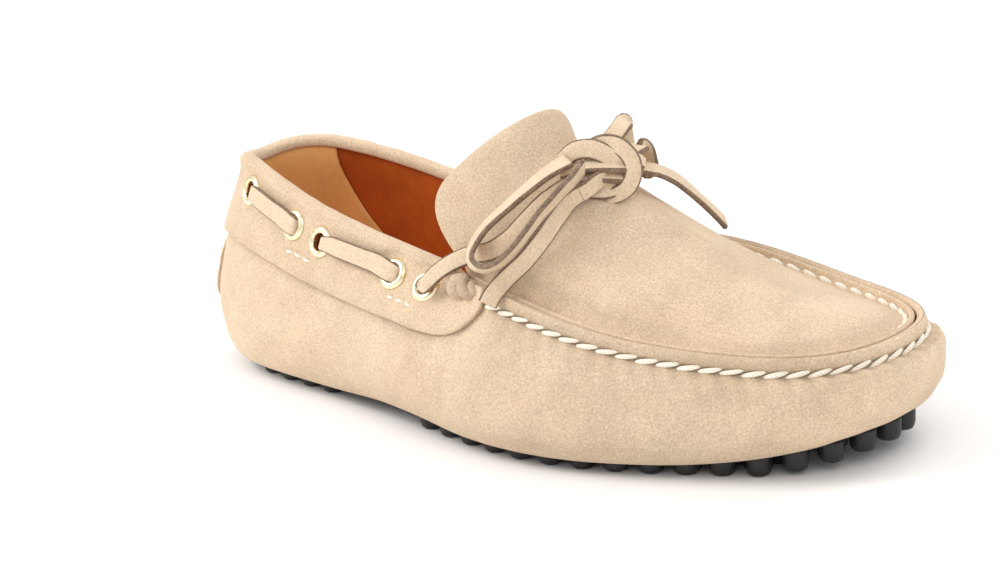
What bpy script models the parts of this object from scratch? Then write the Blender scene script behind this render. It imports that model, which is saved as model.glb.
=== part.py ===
"""Right driving moccasin: canoe-shaped suede body, raised apron seam, pebbled rubber sole, thong lace through a collar band.

All shapes come from the named sizes below and from short tables with one row for each section, in millimetres of the
pattern size; the grading factors stretch them to the sizes wanted. X runs heel to toe, +Y is the medial side, Z is up.
"""

import math

import bpy
import numpy as np
from mathutils.geometry import delaunay_2d_cdt

for ob in list(bpy.data.objects):
    bpy.data.objects.remove(ob, do_unlink=True)

# ---------------------------------------------------------------- sizes wanted, millimetres
LENGTH = 276.0  # heel back to toe tip
BALL_WIDTH = 107.0  # across the ball, outside the suede
BACK_HEIGHT = 76.0  # floor to the top of the collar at the heel
INSTEP_HEIGHT = 80.5  # floor to the apron at the lace knot
WALL = 2.0  # suede with its lining
BAND_T = 1.6  # collar band
APRON_T = 1.8  # apron and tongue
GUARD_T = 1.7  # heel guard
PLATE_T = 2.2  # rubber sheet that carries the pebbles
INSOLE_T = 2.6
GAP = 0.3  # between pieces that meet
BAND_GAP = 0.62  # under the band and the roll, which bend over the body
MARGIN = 6.0  # suede turned under the foot
PEBBLE_D = 8.2
PEBBLE_TIP_D = 7.0
PEBBLE_PITCH = 11.2
PEBBLE_INSET = 11.0  # centre of the outer row from the suede's lower edge
EYELET_D = 10.6
EYELET_BORE = 5.6
EYELET_BARREL = 6.6
LEG_DEPTH = 4.2  # band turned over into the shoe
THONG_W = 6.2
THONG_T = 2.3

PATTERN_LENGTH, PATTERN_WIDTH, PATTERN_BACK, PATTERN_INSTEP = 276.0, 107.0, 76.0, 80.5
GX = LENGTH / PATTERN_LENGTH
GY = BALL_WIDTH / PATTERN_WIDTH
GZ = BACK_HEIGHT / PATTERN_BACK
GI = INSTEP_HEIGHT / PATTERN_INSTEP
ORIGIN = (137.05, -5.0, 0.0)  # pattern point that becomes the part's origin

# ---------------------------------------------------------------- tables
# one row for each rib, round the shoe from the heel back along the lateral side to the toe and home
# foot_x foot_y: edge where the suede turns under; belly, belly_z: how far out and up the fullest point is;
# shoulder: how full the wall is above it; rim_x rim_y rim_z: top edge of the suede
RIB_COLUMNS = "foot_x foot_y belly belly_z shoulder rim_x rim_y rim_z".split()
RIBS = [
    (4.8, 0.5, 4.6, 24, 1.0, 10.5, 1.5, 72.0),
    (8.6, -15.5, 4.3, 23, 1.0, 14.5, -9.5, 73.4),
    (20.5, -26.2, 4.2, 22, 1.0, 24.0, -17.6, 74.6),
    (40.0, -32.5, 4.2, 21, 1.0, 39.5, -24.6, 72.4),
    (65.0, -36.5, 4.2, 20, 0.8, 62.0, -30.8, 67.2),
    (92.0, -42.0, 4.2, 19, 0.6, 88.0, -35.2, 62.2),
    (115.0, -48.5, 4.4, 18, 0.6, 112.0, -38.0, 58.3),
    (130.0, -52.6, 4.6, 18, 1.0, 128.0, -39.4, 55.6),
    (146.0, -56.0, 4.8, 17, 1.6, 144.0, -43.2, 53.8),
    (163.0, -57.6, 4.8, 16, 2.0, 161.0, -48.0, 52.4),
    (182.0, -56.2, 4.6, 16, 2.0, 180.0, -50.2, 49.4),
    (202.0, -51.0, 4.4, 15, 2.0, 199.0, -48.4, 45.8),
    (222.0, -43.0, 4.2, 15, 2.0, 218.0, -43.4, 43.2),
    (240.0, -34.8, 4.0, 14, 2.0, 237.0, -36.4, 41.4),
    (255.0, -25.6, 4.0, 14, 2.0, 252.5, -27.2, 40.4),
    (265.2, -13.2, 4.0, 14, 2.0, 263.6, -14.6, 40.2),
    (271.3, 3.0, 4.0, 14, 2.0, 269.9, 2.8, 40.8),
    (271.1, 20.0, 4.0, 14, 2.0, 269.5, 19.4, 41.6),
    (263.8, 34.0, 4.0, 14, 2.0, 262.7, 30.8, 42.0),
    (250.0, 43.0, 4.0, 15, 2.0, 250.0, 38.4, 42.6),
    (231.0, 47.8, 4.2, 15, 2.0, 231.0, 42.8, 44.2),
    (210.0, 47.4, 4.3, 16, 2.0, 210.0, 44.0, 47.8),
    (188.0, 43.6, 4.3, 17, 2.0, 188.0, 42.4, 51.6),
    (166.0, 38.6, 4.2, 17, 2.0, 166.0, 38.0, 53.6),
    (148.0, 35.2, 4.0, 18, 1.6, 148.0, 33.2, 54.4),
    (131.0, 33.4, 3.8, 18, 1.0, 130.0, 29.8, 55.8),
    (110.0, 32.6, 3.6, 19, 0.6, 110.0, 28.2, 58.6),
    (85.0, 32.4, 3.6, 20, 0.6, 85.0, 28.4, 63.4),
    (60.0, 32.0, 3.8, 21, 0.8, 60.0, 28.4, 68.2),
    (38.0, 30.2, 4.0, 22, 1.0, 38.5, 26.4, 71.8),
    (19.8, 25.0, 4.2, 23, 1.0, 23.0, 20.6, 74.0),
    (8.6, 15.2, 4.3, 24, 1.0, 14.0, 12.2, 73.4),
]
# height of the suede's underside over the floor: heel, arch, ball, toe spring
BOTTOM = [(0, 4.3), (40, 4.2), (78, 4.5), (100, 5.8), (120, 6.0), (145, 4.6), (165, 4.2), (200, 4.2), (222, 4.9), (240, 7.0), (256, 10.2), (270, 14.2), (284, 19.0)]
# centre line of the apron and tongue, toe to tongue top: x, height
CREST = [(250, 43.8), (238, 46.6), (224, 51.0), (210, 56.8), (198, 63.2), (188, 69.4), (178, 76.0), (169, 81.6), (162, 85.4), (156, 89.4), (151.5, 93.6), (148.0, 97.8), (145.0, 101.6)]
SPINE_START, SPINE_END = 156.0, 250.0
SPINE_Y = [(145, -2.4), (152, -3.0), (162, -3.8), (190, -3.2), (215, 0.0), (235, 3.2), (250, 5.6)]
# rows of the tongue above the throat: centre x, z; lateral edge x, y, z; medial edge x, y, z; fullness across
TONGUE_COLUMNS = "cx cz lat_x lat_y lat_z med_x med_y med_z full".split()
TONGUE = [
    (151.5, 93.6, 128.5, -33.6, 59.0, 130.5, 25.0, 59.0, 1.90),
    (148.4, 97.4, 121.5, -32.6, 66.5, 129.0, 26.0, 66.0, 1.75),
    (146.0, 100.2, 118.6, -30.6, 74.0, 132.0, 25.6, 73.5, 1.40),
    (144.0, 101.4, 119.4, -26.0, 80.0, 137.5, 22.4, 80.0, 1.00),
]
# eyelets of each side: station along the shoe, depth below the collar's top edge
EYELETS = [(31.5, 9.9), (57.5, 11.2), (71.5, 11.6), (108.0, 10.7), (123.0, 10.4)]
# collar band's lower edge: distance from its front end and depth below the top, then station and depth
BAND_FRONT = [(0.0, 6.5), (2.0, 9.6), (5.0, 12.8), (9.0, 15.4), (14.0, 17.2), (20.0, 18.4), (30.0, 20.0)]
BAND_DROP = [(0.0, 24.4), (30.0, 25.4), (60.0, 24.6), (95.0, 22.4), (120.0, 20.0), (150.0, 20.0)]
BAND_END_X = 150.0
# heel guard: height up the heel, half width
GUARD = [(7.5, 15.0), (14.0, 17.0), (24.0, 17.6), (33.0, 15.8), (40.0, 12.2), (45.0, 6.0)]


def table(rows, columns):
    return {name: np.array([row[i] for row in rows], float) for i, name in enumerate(columns)}


def along(pairs, x):
    """Smooth curve through (x, value) pairs."""
    px = np.array([p[0] for p in pairs], float)
    py = np.array([p[1] for p in pairs], float)
    if px[0] > px[-1]:
        px, py = px[::-1], py[::-1]
    h = np.diff(px)
    d = np.diff(py) / h
    m = np.empty(len(px))
    m[1:-1] = (d[:-1] * h[1:] + d[1:] * h[:-1]) / (h[1:] + h[:-1])
    m[0], m[-1] = d[0], d[-1]
    x = np.clip(np.asarray(x, float), px[0], px[-1])
    k = np.clip(np.searchsorted(px, x) - 1, 0, len(h) - 1)
    t = (x - px[k]) / h[k]
    return (
        py[k] * (1 + 2 * t) * (1 - t) ** 2
        + m[k] * h[k] * t * (1 - t) ** 2
        + py[k + 1] * t**2 * (3 - 2 * t)
        + m[k + 1] * h[k] * t**2 * (t - 1)
    )


class Loop:
    """Closed cubic spline with continuous curvature through rows of numbers; parameter 0 to 1."""

    def __init__(self, knots, values):
        self.t, self.v = np.asarray(knots, float), np.asarray(values, float)
        n = len(self.v)
        h = np.diff(np.append(self.t, 1.0))
        a = np.zeros((n, n))
        b = np.zeros((n, self.v.shape[1]))
        for i in range(n):
            j, k = (i - 1) % n, (i + 1) % n
            a[i, j] += 1 / h[j]
            a[i, i] += 2 / h[j] + 2 / h[i]
            a[i, k] += 1 / h[i]
            b[i] = 3 * (self.v[i] - self.v[j]) / h[j] ** 2 + 3 * (self.v[k] - self.v[i]) / h[i] ** 2
        self.m, self.h = np.linalg.solve(a, b), h

    def __call__(self, u):
        u = np.mod(np.asarray(u, float), 1.0)
        i = np.clip(np.searchsorted(self.t, u, side="right") - 1, 0, len(self.t) - 1)
        j = (i + 1) % len(self.t)
        h = self.h[i][..., None]
        s = ((u - self.t[i]) / self.h[i])[..., None]
        return (
            self.v[i] * (1 + 2 * s) * (1 - s) ** 2
            + self.m[i] * h * s * (1 - s) ** 2
            + self.v[j] * s**2 * (3 - 2 * s)
            + self.m[j] * h * s**2 * (s - 1)
        )


rib = table(RIBS, RIB_COLUMNS)
for key in ("foot_x", "rim_x"):
    rib[key] *= GX
for key in ("foot_y", "rim_y", "belly", "shoulder"):
    rib[key] *= GY
for key in ("belly_z", "rim_z"):
    rib[key] *= GZ
_round = np.hypot(
    np.diff(np.append(rib["foot_x"], rib["foot_x"][0])), np.diff(np.append(rib["foot_y"], rib["foot_y"][0]))
)
KNOTS = np.concatenate([[0.0], np.cumsum(_round)[:-1]]) / _round.sum()
ribs = Loop(KNOTS, np.stack([rib[c] for c in RIB_COLUMNS], 1))


def plan_normal(column, u):
    """Outward direction, in plan, of the loop that starts at that column."""
    e = 1e-4
    d = (ribs(u + e) - ribs(u - e))[..., column : column + 2]
    n = np.stack([d[..., 1], -d[..., 0]], -1)
    n = n / np.linalg.norm(n, axis=-1, keepdims=True)
    return np.concatenate([n, np.zeros(n.shape[:-1] + (1,))], -1)


def bottom(x):
    return along([(a * GX, b) for a, b in BOTTOM], x)


PROFILE = np.array([0.0, 0.10, 0.17, 0.24, 0.40, 0.56, 0.76, 0.91, 1.0])  # where the eight points of a rib lie


def rib_points(u):
    """Control points of the outside of the ribs at u: under the foot, round the edge, belly, shoulder, rim."""
    r = ribs(u)
    foot = np.stack([r[..., 0], r[..., 1], bottom(r[..., 0])], -1)
    out = plan_normal(0, u)
    up = np.array([0.0, 0.0, 1.0])
    rim = np.stack([r[..., 5], r[..., 6], r[..., 7]], -1)
    rim_out = plan_normal(5, u)
    belly, belly_z, shoulder = r[..., 2:3], r[..., 3:4], r[..., 4:5]
    full = foot + out * belly + up * belly_z
    high = 0.5 * (full + rim) + out * shoulder
    neck = rim + rim_out * 0.5 * shoulder - up * 5.0

    def under(inset, rise):
        p = foot - out * inset
        p[..., 2] = bottom(p[..., 0]) + rise
        return p

    return np.stack(
        [
            under(MARGIN, 0.0),
            under(2.6, 0.25),
            under(0.2, 1.7),
            foot + out * 1.6 + up * 4.6,
            foot + out * belly * 0.82 + up * belly_z * 0.55,
            full,
            high,
            neck,
            rim,
        ],
        -2,
    )


def outside(u, s):
    """Outer surface of the suede body: u round the shoe, s up the rib from 0 at the sole opening to 1 at the rim."""
    u, s = np.broadcast_arrays(np.asarray(u, float), np.asarray(s, float))
    p = rib_points(u)
    t = PROFILE
    h = np.diff(t)
    d = np.diff(p, axis=-2) / h[:, None]
    m = np.empty_like(p)
    m[..., 1:-1, :] = (d[..., :-1, :] * h[1:, None] + d[..., 1:, :] * h[:-1, None]) / (h[1:] + h[:-1])[:, None]
    m[..., 0, :], m[..., -1, :] = d[..., 0, :], d[..., -1, :]
    k = np.clip(np.searchsorted(t, s) - 1, 0, len(h) - 1)

    def take(a):
        return np.take_along_axis(a, k[..., None, None], axis=-2)[..., 0, :]

    def take_next(a):
        return np.take_along_axis(a, (k + 1)[..., None, None], axis=-2)[..., 0, :]

    w = h[k][..., None]
    q = ((s - t[k]) / h[k])[..., None]
    return (
        take(p) * (1 + 2 * q) * (1 - q) ** 2
        + take(m) * w * q * (1 - q) ** 2
        + take_next(p) * q**2 * (3 - 2 * q)
        + take_next(m) * w * q**2 * (q - 1)
    )


def normal(u, s):
    e = 2e-3
    du = outside(u + 1e-4, s) - outside(u - 1e-4, s)
    ds = outside(u, np.minimum(s + e, 1)) - outside(u, np.maximum(s - e, 0))
    n = np.cross(du, ds)
    n /= np.linalg.norm(n, axis=-1, keepdims=True)
    return n


def offset(u, s, d):
    return outside(u, s) + normal(u, s) * np.asarray(d)[..., None] if np.ndim(d) else outside(u, s) + normal(u, s) * d


def u_at(x, side):
    """Rim parameter at a station along the shoe; side -1 lateral, +1 medial."""
    uu = np.linspace(0.0, 1.0, 2001)
    r = ribs(uu)
    tip = uu[r[:, 5].argmax()]
    low, high = (0.0, tip) if side < 0 else (tip, 1.0)
    pick = (uu >= low) & (uu <= high)
    xs, us = r[pick, 5], uu[pick]
    order = np.argsort(xs)
    return float(np.interp(x, xs[order], us[order]))


# ---------------------------------------------------------------- mesh helpers
PARTS = {}


def material(name, rgb, rough, metal=0.0):
    m = bpy.data.materials.new(name)
    m.use_nodes = True
    b = m.node_tree.nodes["Principled BSDF"]
    b.inputs["Base Color"].default_value = (*rgb, 1.0)
    b.inputs["Roughness"].default_value = rough
    b.inputs["Metallic"].default_value = metal
    m.diffuse_color = (*rgb, 1.0)
    return m


def place(points):
    return (np.asarray(points, float) - np.array(ORIGIN)) / 1000.0


def add(name, verts, faces, mat, hidden=False):
    mesh = bpy.data.meshes.new(name)
    mesh.from_pydata([tuple(v) for v in place(verts)], [], [tuple(int(i) for i in f) for f in faces])
    mesh.validate()
    mesh.update()
    ob = bpy.data.objects.new(name, mesh)
    bpy.context.collection.objects.link(ob)
    if mat:
        mesh.materials.append(mat)
    if hidden:
        ob.hide_render = True
        ob.display_type = "WIRE"
    PARTS[name] = ob
    return ob


def grid_faces(rows, cols, closed_rows=False, closed_cols=False):
    faces = []
    for i in range(rows - (0 if closed_rows else 1)):
        for j in range(cols - (0 if closed_cols else 1)):
            a, b = i % rows, (i + 1) % rows
            c, d = j % cols, (j + 1) % cols
            faces.append((a * cols + c, b * cols + c, b * cols + d, a * cols + d))
    return faces


def vertex_normals(verts, faces):
    n = np.zeros_like(verts)
    for f in faces:
        p = verts[list(f)]
        k = np.cross(p[2] - p[0], p[3] - p[1]) if len(f) == 4 else np.cross(p[1] - p[0], p[2] - p[0])
        for i in f:
            n[i] += k
    return n / np.maximum(np.linalg.norm(n, axis=1, keepdims=True), 1e-9)


def thicken(verts, faces, up, down, normals=None):
    """Closed solid from an open sheet: its skin moved up along the normals by up and down by down."""
    verts = np.asarray(verts, float)
    n = vertex_normals(verts, faces) if normals is None else normals
    count = len(verts)
    out = np.concatenate([verts + n * up, verts - n * down])
    edges = {}
    for f in faces:
        for a, b in zip(f, f[1:] + f[:1]):
            edges[(a, b)] = edges.get((a, b), 0) + 1
    solid = [tuple(f) for f in faces] + [tuple(i + count for i in f[::-1]) for f in faces]
    for (a, b), times in edges.items():
        if (b, a) not in edges:
            solid.append((b, a, a + count, b + count))
    return out, solid


def resample(points, n):
    d = np.concatenate([[0.0], np.cumsum(np.linalg.norm(np.diff(points, axis=0), axis=1))])
    t = np.linspace(0.0, d[-1], n)
    return np.stack([np.interp(t, d, points[:, i]) for i in range(points.shape[1])], 1)


def cut(ob, cutter):
    m = ob.modifiers.new("cut", "BOOLEAN")
    m.operation = "DIFFERENCE"
    m.solver = "EXACT"
    m.object = cutter


def smooth_route(points, count, closed=False):
    """Smooth curve through a route's own points, as count points at even distances."""
    p = np.asarray(points, float)
    t = np.concatenate([[0.0], np.cumsum(np.linalg.norm(np.diff(p, axis=0), axis=1) ** 0.5)])
    h = np.diff(t)
    d = np.diff(p, axis=0) / h[:, None]
    m = np.empty_like(p)
    m[1:-1] = (d[:-1] * h[1:, None] + d[1:] * h[:-1, None]) / (h[1:] + h[:-1])[:, None]
    m[0], m[-1] = d[0], d[-1]
    x = np.linspace(0, t[-1], 60 * len(p))
    k = np.clip(np.searchsorted(t, x) - 1, 0, len(h) - 1)
    q = ((x - t[k]) / h[k])[:, None]
    w = h[k][:, None]
    fine = p[k] * (1 + 2 * q) * (1 - q) ** 2 + m[k] * w * q * (1 - q) ** 2 + p[k + 1] * q**2 * (3 - 2 * q) + m[k + 1] * w * q**2 * (q - 1)
    return resample(fine, count)


def cord(name, points, count, diameter, mat):
    route = place(smooth_route(points, count))
    data = bpy.data.curves.new(name, "CURVE")
    data.dimensions = "3D"
    data.bevel_depth = diameter / 2000.0
    data.bevel_resolution = 2
    data.use_fill_caps = True
    spline = data.splines.new("POLY")
    spline.points.add(len(route) - 1)
    for point, at in zip(spline.points, route):
        point.co = (*at, 1.0)
    data.materials.append(mat)
    ob = bpy.data.objects.new(name, data)
    bpy.context.collection.objects.link(ob)
    return ob


SUEDE = material("suede", (0.56, 0.43, 0.30), 0.95)
APRON = material("suede_apron", (0.56, 0.43, 0.30), 0.95)
BAND = material("suede_band", (0.55, 0.42, 0.29), 0.95)
ROLL = material("suede_roll", (0.55, 0.42, 0.29), 0.95)
GUARD_MAT = material("suede_guard", (0.50, 0.37, 0.25), 0.95)
RUBBER = material("rubber_black", (0.02, 0.02, 0.022), 0.5)
FOOTBED = material("leather_tan", (0.60, 0.30, 0.12), 0.55)
BRASS = material("brass_pale", (0.83, 0.70, 0.45), 0.28, 1.0)
THONG = material("suede_thong", (0.50, 0.38, 0.27), 0.95)

# ---------------------------------------------------------------- upper: one hollow body, open on top and underneath
U_RIBS = 56
even = np.interp(np.linspace(0, 1, U_RIBS, endpoint=False), np.linspace(0, 1, len(KNOTS) + 1), np.append(KNOTS, 1.0))
S_UPPER = np.array([0.0, 0.10, 0.17, 0.24, 0.40, 0.56, 0.72, 0.87, 1.0])
uu, ss = np.meshgrid(even, S_UPPER, indexing="ij")
skin = outside(uu, ss)
norm = normal(uu, ss)
rows, cols = uu.shape
faces = grid_faces(rows, cols, closed_rows=True)
norm[:, 0] = (0.0, 0.0, -1.0)  # the turned-under edge is cut square
verts, solid = thicken(skin.reshape(-1, 3), faces, 0.0, WALL, norm.reshape(-1, 3))
upper = add("upper", verts, solid, SUEDE)

# ---------------------------------------------------------------- sole: plate in the opening, with pebbles
def ring(inset, n=U_RIBS):
    """Outline inside the foot's edge; with the ribs' own number of points its sides lie along the upper's."""
    u = np.interp(np.linspace(0, 1, n, endpoint=False), np.linspace(0, 1, len(KNOTS) + 1), np.append(KNOTS, 1.0))
    r = ribs(u)
    return (np.stack([r[:, 0], r[:, 1], np.zeros(n)], 1) - plan_normal(0, u) * inset)[:, :2]


def inside(polygon, p):
    x, y = p
    a, b = polygon, np.roll(polygon, -1, axis=0)
    hit = ((a[:, 1] > y) != (b[:, 1] > y)) & (
        x < (b[:, 0] - a[:, 0]) * (y - a[:, 1]) / np.where(b[:, 1] == a[:, 1], 1e-9, b[:, 1] - a[:, 1]) + a[:, 0]
    )
    return hit.sum() % 2 == 1


def pebble_centres():
    """Rows across the shoe: an outer row that follows the edge and a staggered field inside it, none under the arch."""
    edge = ring(PEBBLE_INSET, 400)
    field = ring(PEBBLE_INSET + PEBBLE_PITCH * 0.80, 200)
    closed = np.vstack([edge, edge[:1]])
    d = np.concatenate([[0.0], np.cumsum(np.linalg.norm(np.diff(closed, axis=0), axis=1))])
    count = int(round(d[-1] / PEBBLE_PITCH))
    t = (np.arange(count) + 0.5) * d[-1] / count
    centres = [np.array([np.interp(v, d, closed[:, 0]), np.interp(v, d, closed[:, 1])]) for v in t]
    row_h = PEBBLE_PITCH * 0.9
    for k in range(int(LENGTH / row_h) + 1):
        x = 15.0 + k * row_h
        shift = 0.5 * PEBBLE_PITCH * (k % 2)
        for j in range(-7, 8):
            p = np.array([x, j * PEBBLE_PITCH + shift - 2.0])
            if inside(field, p):
                centres.append(p)
    kept = []
    for p in centres:
        arch_front = 107.0 - 0.05 * p[1]
        arch_rear = 72.0
        if arch_rear < p[0] / GX < arch_front:
            continue
        if all(np.hypot(*(p - q)) > PEBBLE_D + 0.9 for q in kept):
            kept.append(p)
    return kept


def sheet(outline, holes, inner, height):
    """Triangles of a flat sheet with holes; the points take their height from x."""
    pts, edges = [], []

    def loop(points):
        start = len(pts)
        pts.extend([tuple(p) for p in points])
        n = len(points)
        edges.extend([(start + i, start + (i + 1) % n) for i in range(n)])

    loop(outline)
    for h in holes:
        loop(h)
    pts.extend([tuple(p) for p in inner])
    from mathutils import Vector

    v, _, f, *_ = delaunay_2d_cdt([Vector(p) for p in pts], edges, [], 0, 1e-5)
    v = np.array([tuple(p) for p in v])
    assert len(v) == len(pts)
    keep = []
    for tri in f:
        c = v[list(tri)].mean(0)
        if not inside(outline, c):
            continue
        if any(len(set(tri) & ids) == 3 for ids in hole_ids(outline, holes)):
            continue
        a, b, c3 = v[tri[0]], v[tri[1]], v[tri[2]]
        if (b[0] - a[0]) * (c3[1] - a[1]) - (b[1] - a[1]) * (c3[0] - a[0]) < 0:
            tri = tri[::-1]
        keep.append(tuple(tri))
    return np.column_stack([v, height(v[:, 0])]), keep


def hole_ids(outline, holes):
    at, ids = len(outline), []
    for h in holes:
        ids.append(set(range(at, at + len(h))))
        at += len(h)
    return ids


outline = ring(MARGIN + GAP)
pebbles = pebble_centres()
SIDES = 8
angles = (np.arange(SIDES) + 0.5) * 2 * math.pi / SIDES
circle = np.stack([np.cos(angles), np.sin(angles)], 1)
holes = [c + circle * PEBBLE_D / 2 for c in pebbles]
low, low_f = sheet(outline, holes, [], bottom)
spine_pts = [(x, float(np.interp(x, [0, 150, 277], [-3, -8, 12]))) for x in np.arange(22, 262, 12.0)]
top, top_f = sheet(outline, [], spine_pts, lambda x: bottom(x) + PLATE_T)
n_low, n_out = len(low), len(outline)
verts = [low, top]
faces = [t[::-1] for t in low_f] + [tuple(i + n_low for i in t) for t in top_f]
faces += [(i, (i + 1) % n_out, n_low + (i + 1) % n_out, n_low + i) for i in range(n_out)]
at = n_low + len(top)
start = n_out
for c in pebbles:
    lean = (bottom(c[0] + 2.0) - bottom(c[0] - 2.0)) / 4.0
    floor_z = float(max(0.0, bottom(c[0]) - 4.2))
    if floor_z < 0.45:
        floor_z, lean = 0.0, 0.0
    tip = np.column_stack([c + circle * PEBBLE_TIP_D / 2, np.zeros(SIDES)])
    tip[:, 2] = floor_z + (tip[:, 0] - c[0]) * lean
    tip[:, 0] += lean * 4.0
    verts.append(tip)
    for i in range(SIDES):
        j = (i + 1) % SIDES
        faces.append((start + j, start + i, at + i, at + j))
    faces.append(tuple(at + i for i in range(SIDES))[::-1])
    at += SIDES
    start += SIDES
outsole = add("outsole", np.vstack(verts), faces, RUBBER)

# ---------------------------------------------------------------- insole
INSET_INSOLE = 5.0
seat, seat_f = sheet(ring(INSET_INSOLE), [], spine_pts, lambda x: bottom(x) + PLATE_T + 0.45)
n = len(seat)
roof = seat + np.array([0, 0, INSOLE_T])
edge_n = U_RIBS
faces = [t[::-1] for t in seat_f] + [tuple(i + n for i in t) for t in seat_f]
faces += [(i, (i + 1) % edge_n, n + (i + 1) % edge_n, n + i) for i in range(edge_n)]
insole = add("insole", np.vstack([seat, roof]), faces, FOOTBED)

# ---------------------------------------------------------------- apron with its tongue
THROAT_X = 137.0
TOE_X = 243.0
SIDE_COLS, TOE_COLS = 12, 9
ACROSS = np.array([0.0, 0.16, 0.34, 0.54, 0.76, 1.0])


def spine_point(x):
    return np.array([x, float(along(SPINE_Y, x)) * GY, float(along(CREST, x)) * GI])


def rim_frame(u):
    r = ribs(u)
    return r[5:8], -plan_normal(5, u)


def arch(base, crest, steep, share):
    """Points from the base of the apron up to its crest: share 0 to 1, steeper near the base where steep is 1."""
    a = share ** (1 + 0.5 * steep)
    rise = (1 - (1 - a) ** 2) ** (1 / (1 + 1.15 * steep))
    return np.array([base[0] + (crest[0] - base[0]) * a, base[1] + (crest[1] - base[1]) * a, base[2] + (crest[2] - base[2]) * rise])


def apron_column(u, crest):
    rim, inward = rim_frame(u)
    half = WALL / 2 + GAP + 0.25 + APRON_T / 2
    lip = rim + inward * (half + 0.9)
    lip[2] = rim[2] - 0.1
    mid = rim + inward * (half + 1.1)
    mid[2] = rim[2] - 2.6
    base = rim + inward * (half + 2.8)
    base[2] = rim[2] - 4.3
    steep = float(np.clip((228.0 - crest[0]) / 55.0, 0.0, 1.0))
    return [lip, mid] + [arch(base, crest, steep, s) for s in ACROSS[:-1]]


u_l0, u_l1 = u_at(THROAT_X * GX, -1), u_at(TOE_X * GX, -1)
u_m1, u_m0 = u_at(TOE_X * GX, 1), u_at(THROAT_X * GX, 1)
us = np.concatenate([np.linspace(u_l0, u_l1, SIDE_COLS), np.linspace(u_l1, u_m1, TOE_COLS + 2)[1:-1], np.linspace(u_m1, u_m0, SIDE_COLS)])
stations = np.concatenate([np.linspace(0, 1, SIDE_COLS), np.ones(TOE_COLS), np.linspace(1, 0, SIDE_COLS)])
verts, faces, crest_index = [], [], {}
spine_ids = []
for k, (u, st) in enumerate(zip(us, stations)):
    crest = spine_point((SPINE_START + (SPINE_END - SPINE_START) * st) * GX)
    key = round(float(st), 6)
    if key not in crest_index:
        crest_index[key] = len(verts)
        verts.append(crest)
    spine_ids.append(crest_index[key])
cols_ids = []
for k, (u, st) in enumerate(zip(us, stations)):
    crest = verts[spine_ids[k]]
    ids = []
    for p in apron_column(u, crest):
        ids.append(len(verts))
        verts.append(p)
    cols_ids.append(ids)
for k in range(len(us) - 1):
    a, b = cols_ids[k], cols_ids[k + 1]
    for j in range(len(a) - 1):
        faces.append((a[j], b[j], b[j + 1], a[j + 1]))
    if spine_ids[k] == spine_ids[k + 1]:
        faces.append((a[-1], b[-1], spine_ids[k]))
    else:
        faces.append((a[-1], b[-1], spine_ids[k + 1], spine_ids[k]))
# tongue rows go on from the throat row
previous = cols_ids[0] + [spine_ids[0]] + cols_ids[-1][::-1]
tongue = table(TONGUE, TONGUE_COLUMNS)
for k in range(len(TONGUE)):
    c = np.array([tongue["cx"][k] * GX, float(along(SPINE_Y, tongue["cx"][k])) * GY, tongue["cz"][k] * GI])
    row = []
    for side in (-1, 1):
        tag = "lat" if side < 0 else "med"
        e = np.array([tongue[tag + "_x"][k] * GX, tongue[tag + "_y"][k] * GY, tongue[tag + "_z"][k] * GI])
        half = []
        shares = np.concatenate([[0.0, 0.035, 0.08], 0.08 + 0.92 * ACROSS[1:-1]])
        for s in shares:
            a = s**1.5
            rise = (1 - (1 - a) ** 2) ** (1 / tongue["full"][k])
            fore = 1 - (1 - a) ** 1.6
            half.append(np.array([e[0] + (c[0] - e[0]) * fore, e[1] + (c[1] - e[1]) * a, e[2] + (c[2] - e[2]) * rise]))
        ids = []
        for p in half:
            ids.append(len(verts))
            verts.append(p)
        row.append(ids)
    verts.append(c)
    current = row[0] + [len(verts) - 1] + row[1][::-1]
    for j in range(len(current) - 1):
        faces.append((current[j], previous[j], previous[j + 1], current[j + 1]))
    previous = current
verts = np.array(verts)
faces = [tuple(f) for f in faces]
if vertex_normals(verts, faces)[spine_ids[0]][2] < 0:
    faces = [f[::-1] for f in faces]
solid_v, solid_f = thicken(verts, faces, APRON_T / 2, APRON_T / 2)
apron = add("apron_tongue", solid_v, solid_f, APRON)

# ---------------------------------------------------------------- collar band outside, and the roll over the rim
LEG_N = 4
ROLL_DROP = 1.6  # the roll's outer edge below the rim
ROLL_END_X = 132.0
away = BAND_GAP + BAND_T / 2


def at_height(u, z, d):
    """Point of the body's facets at height z on the rib at u, moved out by d."""
    p = outside(np.full(5, u), S_UPPER[4:])
    n = normal(np.full(5, u), S_UPPER[4:])
    both = np.hstack([p, n])
    q = np.array([np.interp(z, p[:, 2], both[:, i]) for i in range(6)])
    return q[:3] + q[3:] / np.linalg.norm(q[3:]) * d


def flap_path(u, x):
    """Middle of the band at u, from its lower edge up to the roll."""
    front = BAND_END_X * GX - x
    depth = min(float(along(BAND_FRONT, min(front, 30.0))) if front < 30 else 99.0, float(along(BAND_DROP, x / GX))) * GZ
    top = float(outside(u, 1.0)[2])
    return [at_height(u, z, away) for z in np.linspace(top - depth, top - ROLL_DROP - 0.7, LEG_N)]


def roll_path(u, x):
    """Middle of the roll at u: up outside, over the rim, down inside."""
    rim = outside(u, 1.0)
    n = normal(np.array(u), np.array(0.995))
    n = np.array([n[0], n[1], 0.0]) / np.hypot(n[0], n[1])
    mid = rim - n * WALL / 2
    up = np.array([0.0, 0.0, 1.0])
    reach = WALL / 2 + away
    return [
        at_height(u, rim[2] - ROLL_DROP, away),
        mid + n * reach + up * 0.1,
        mid + n * (reach - 1.0) + up * (away + 0.1),
        mid - n * (reach - 1.0) + up * (away + 0.1),
        mid - n * reach + up * 0.1,
        at_height(u, rim[2] - LEG_DEPTH, -(WALL + away)),
    ]


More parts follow.
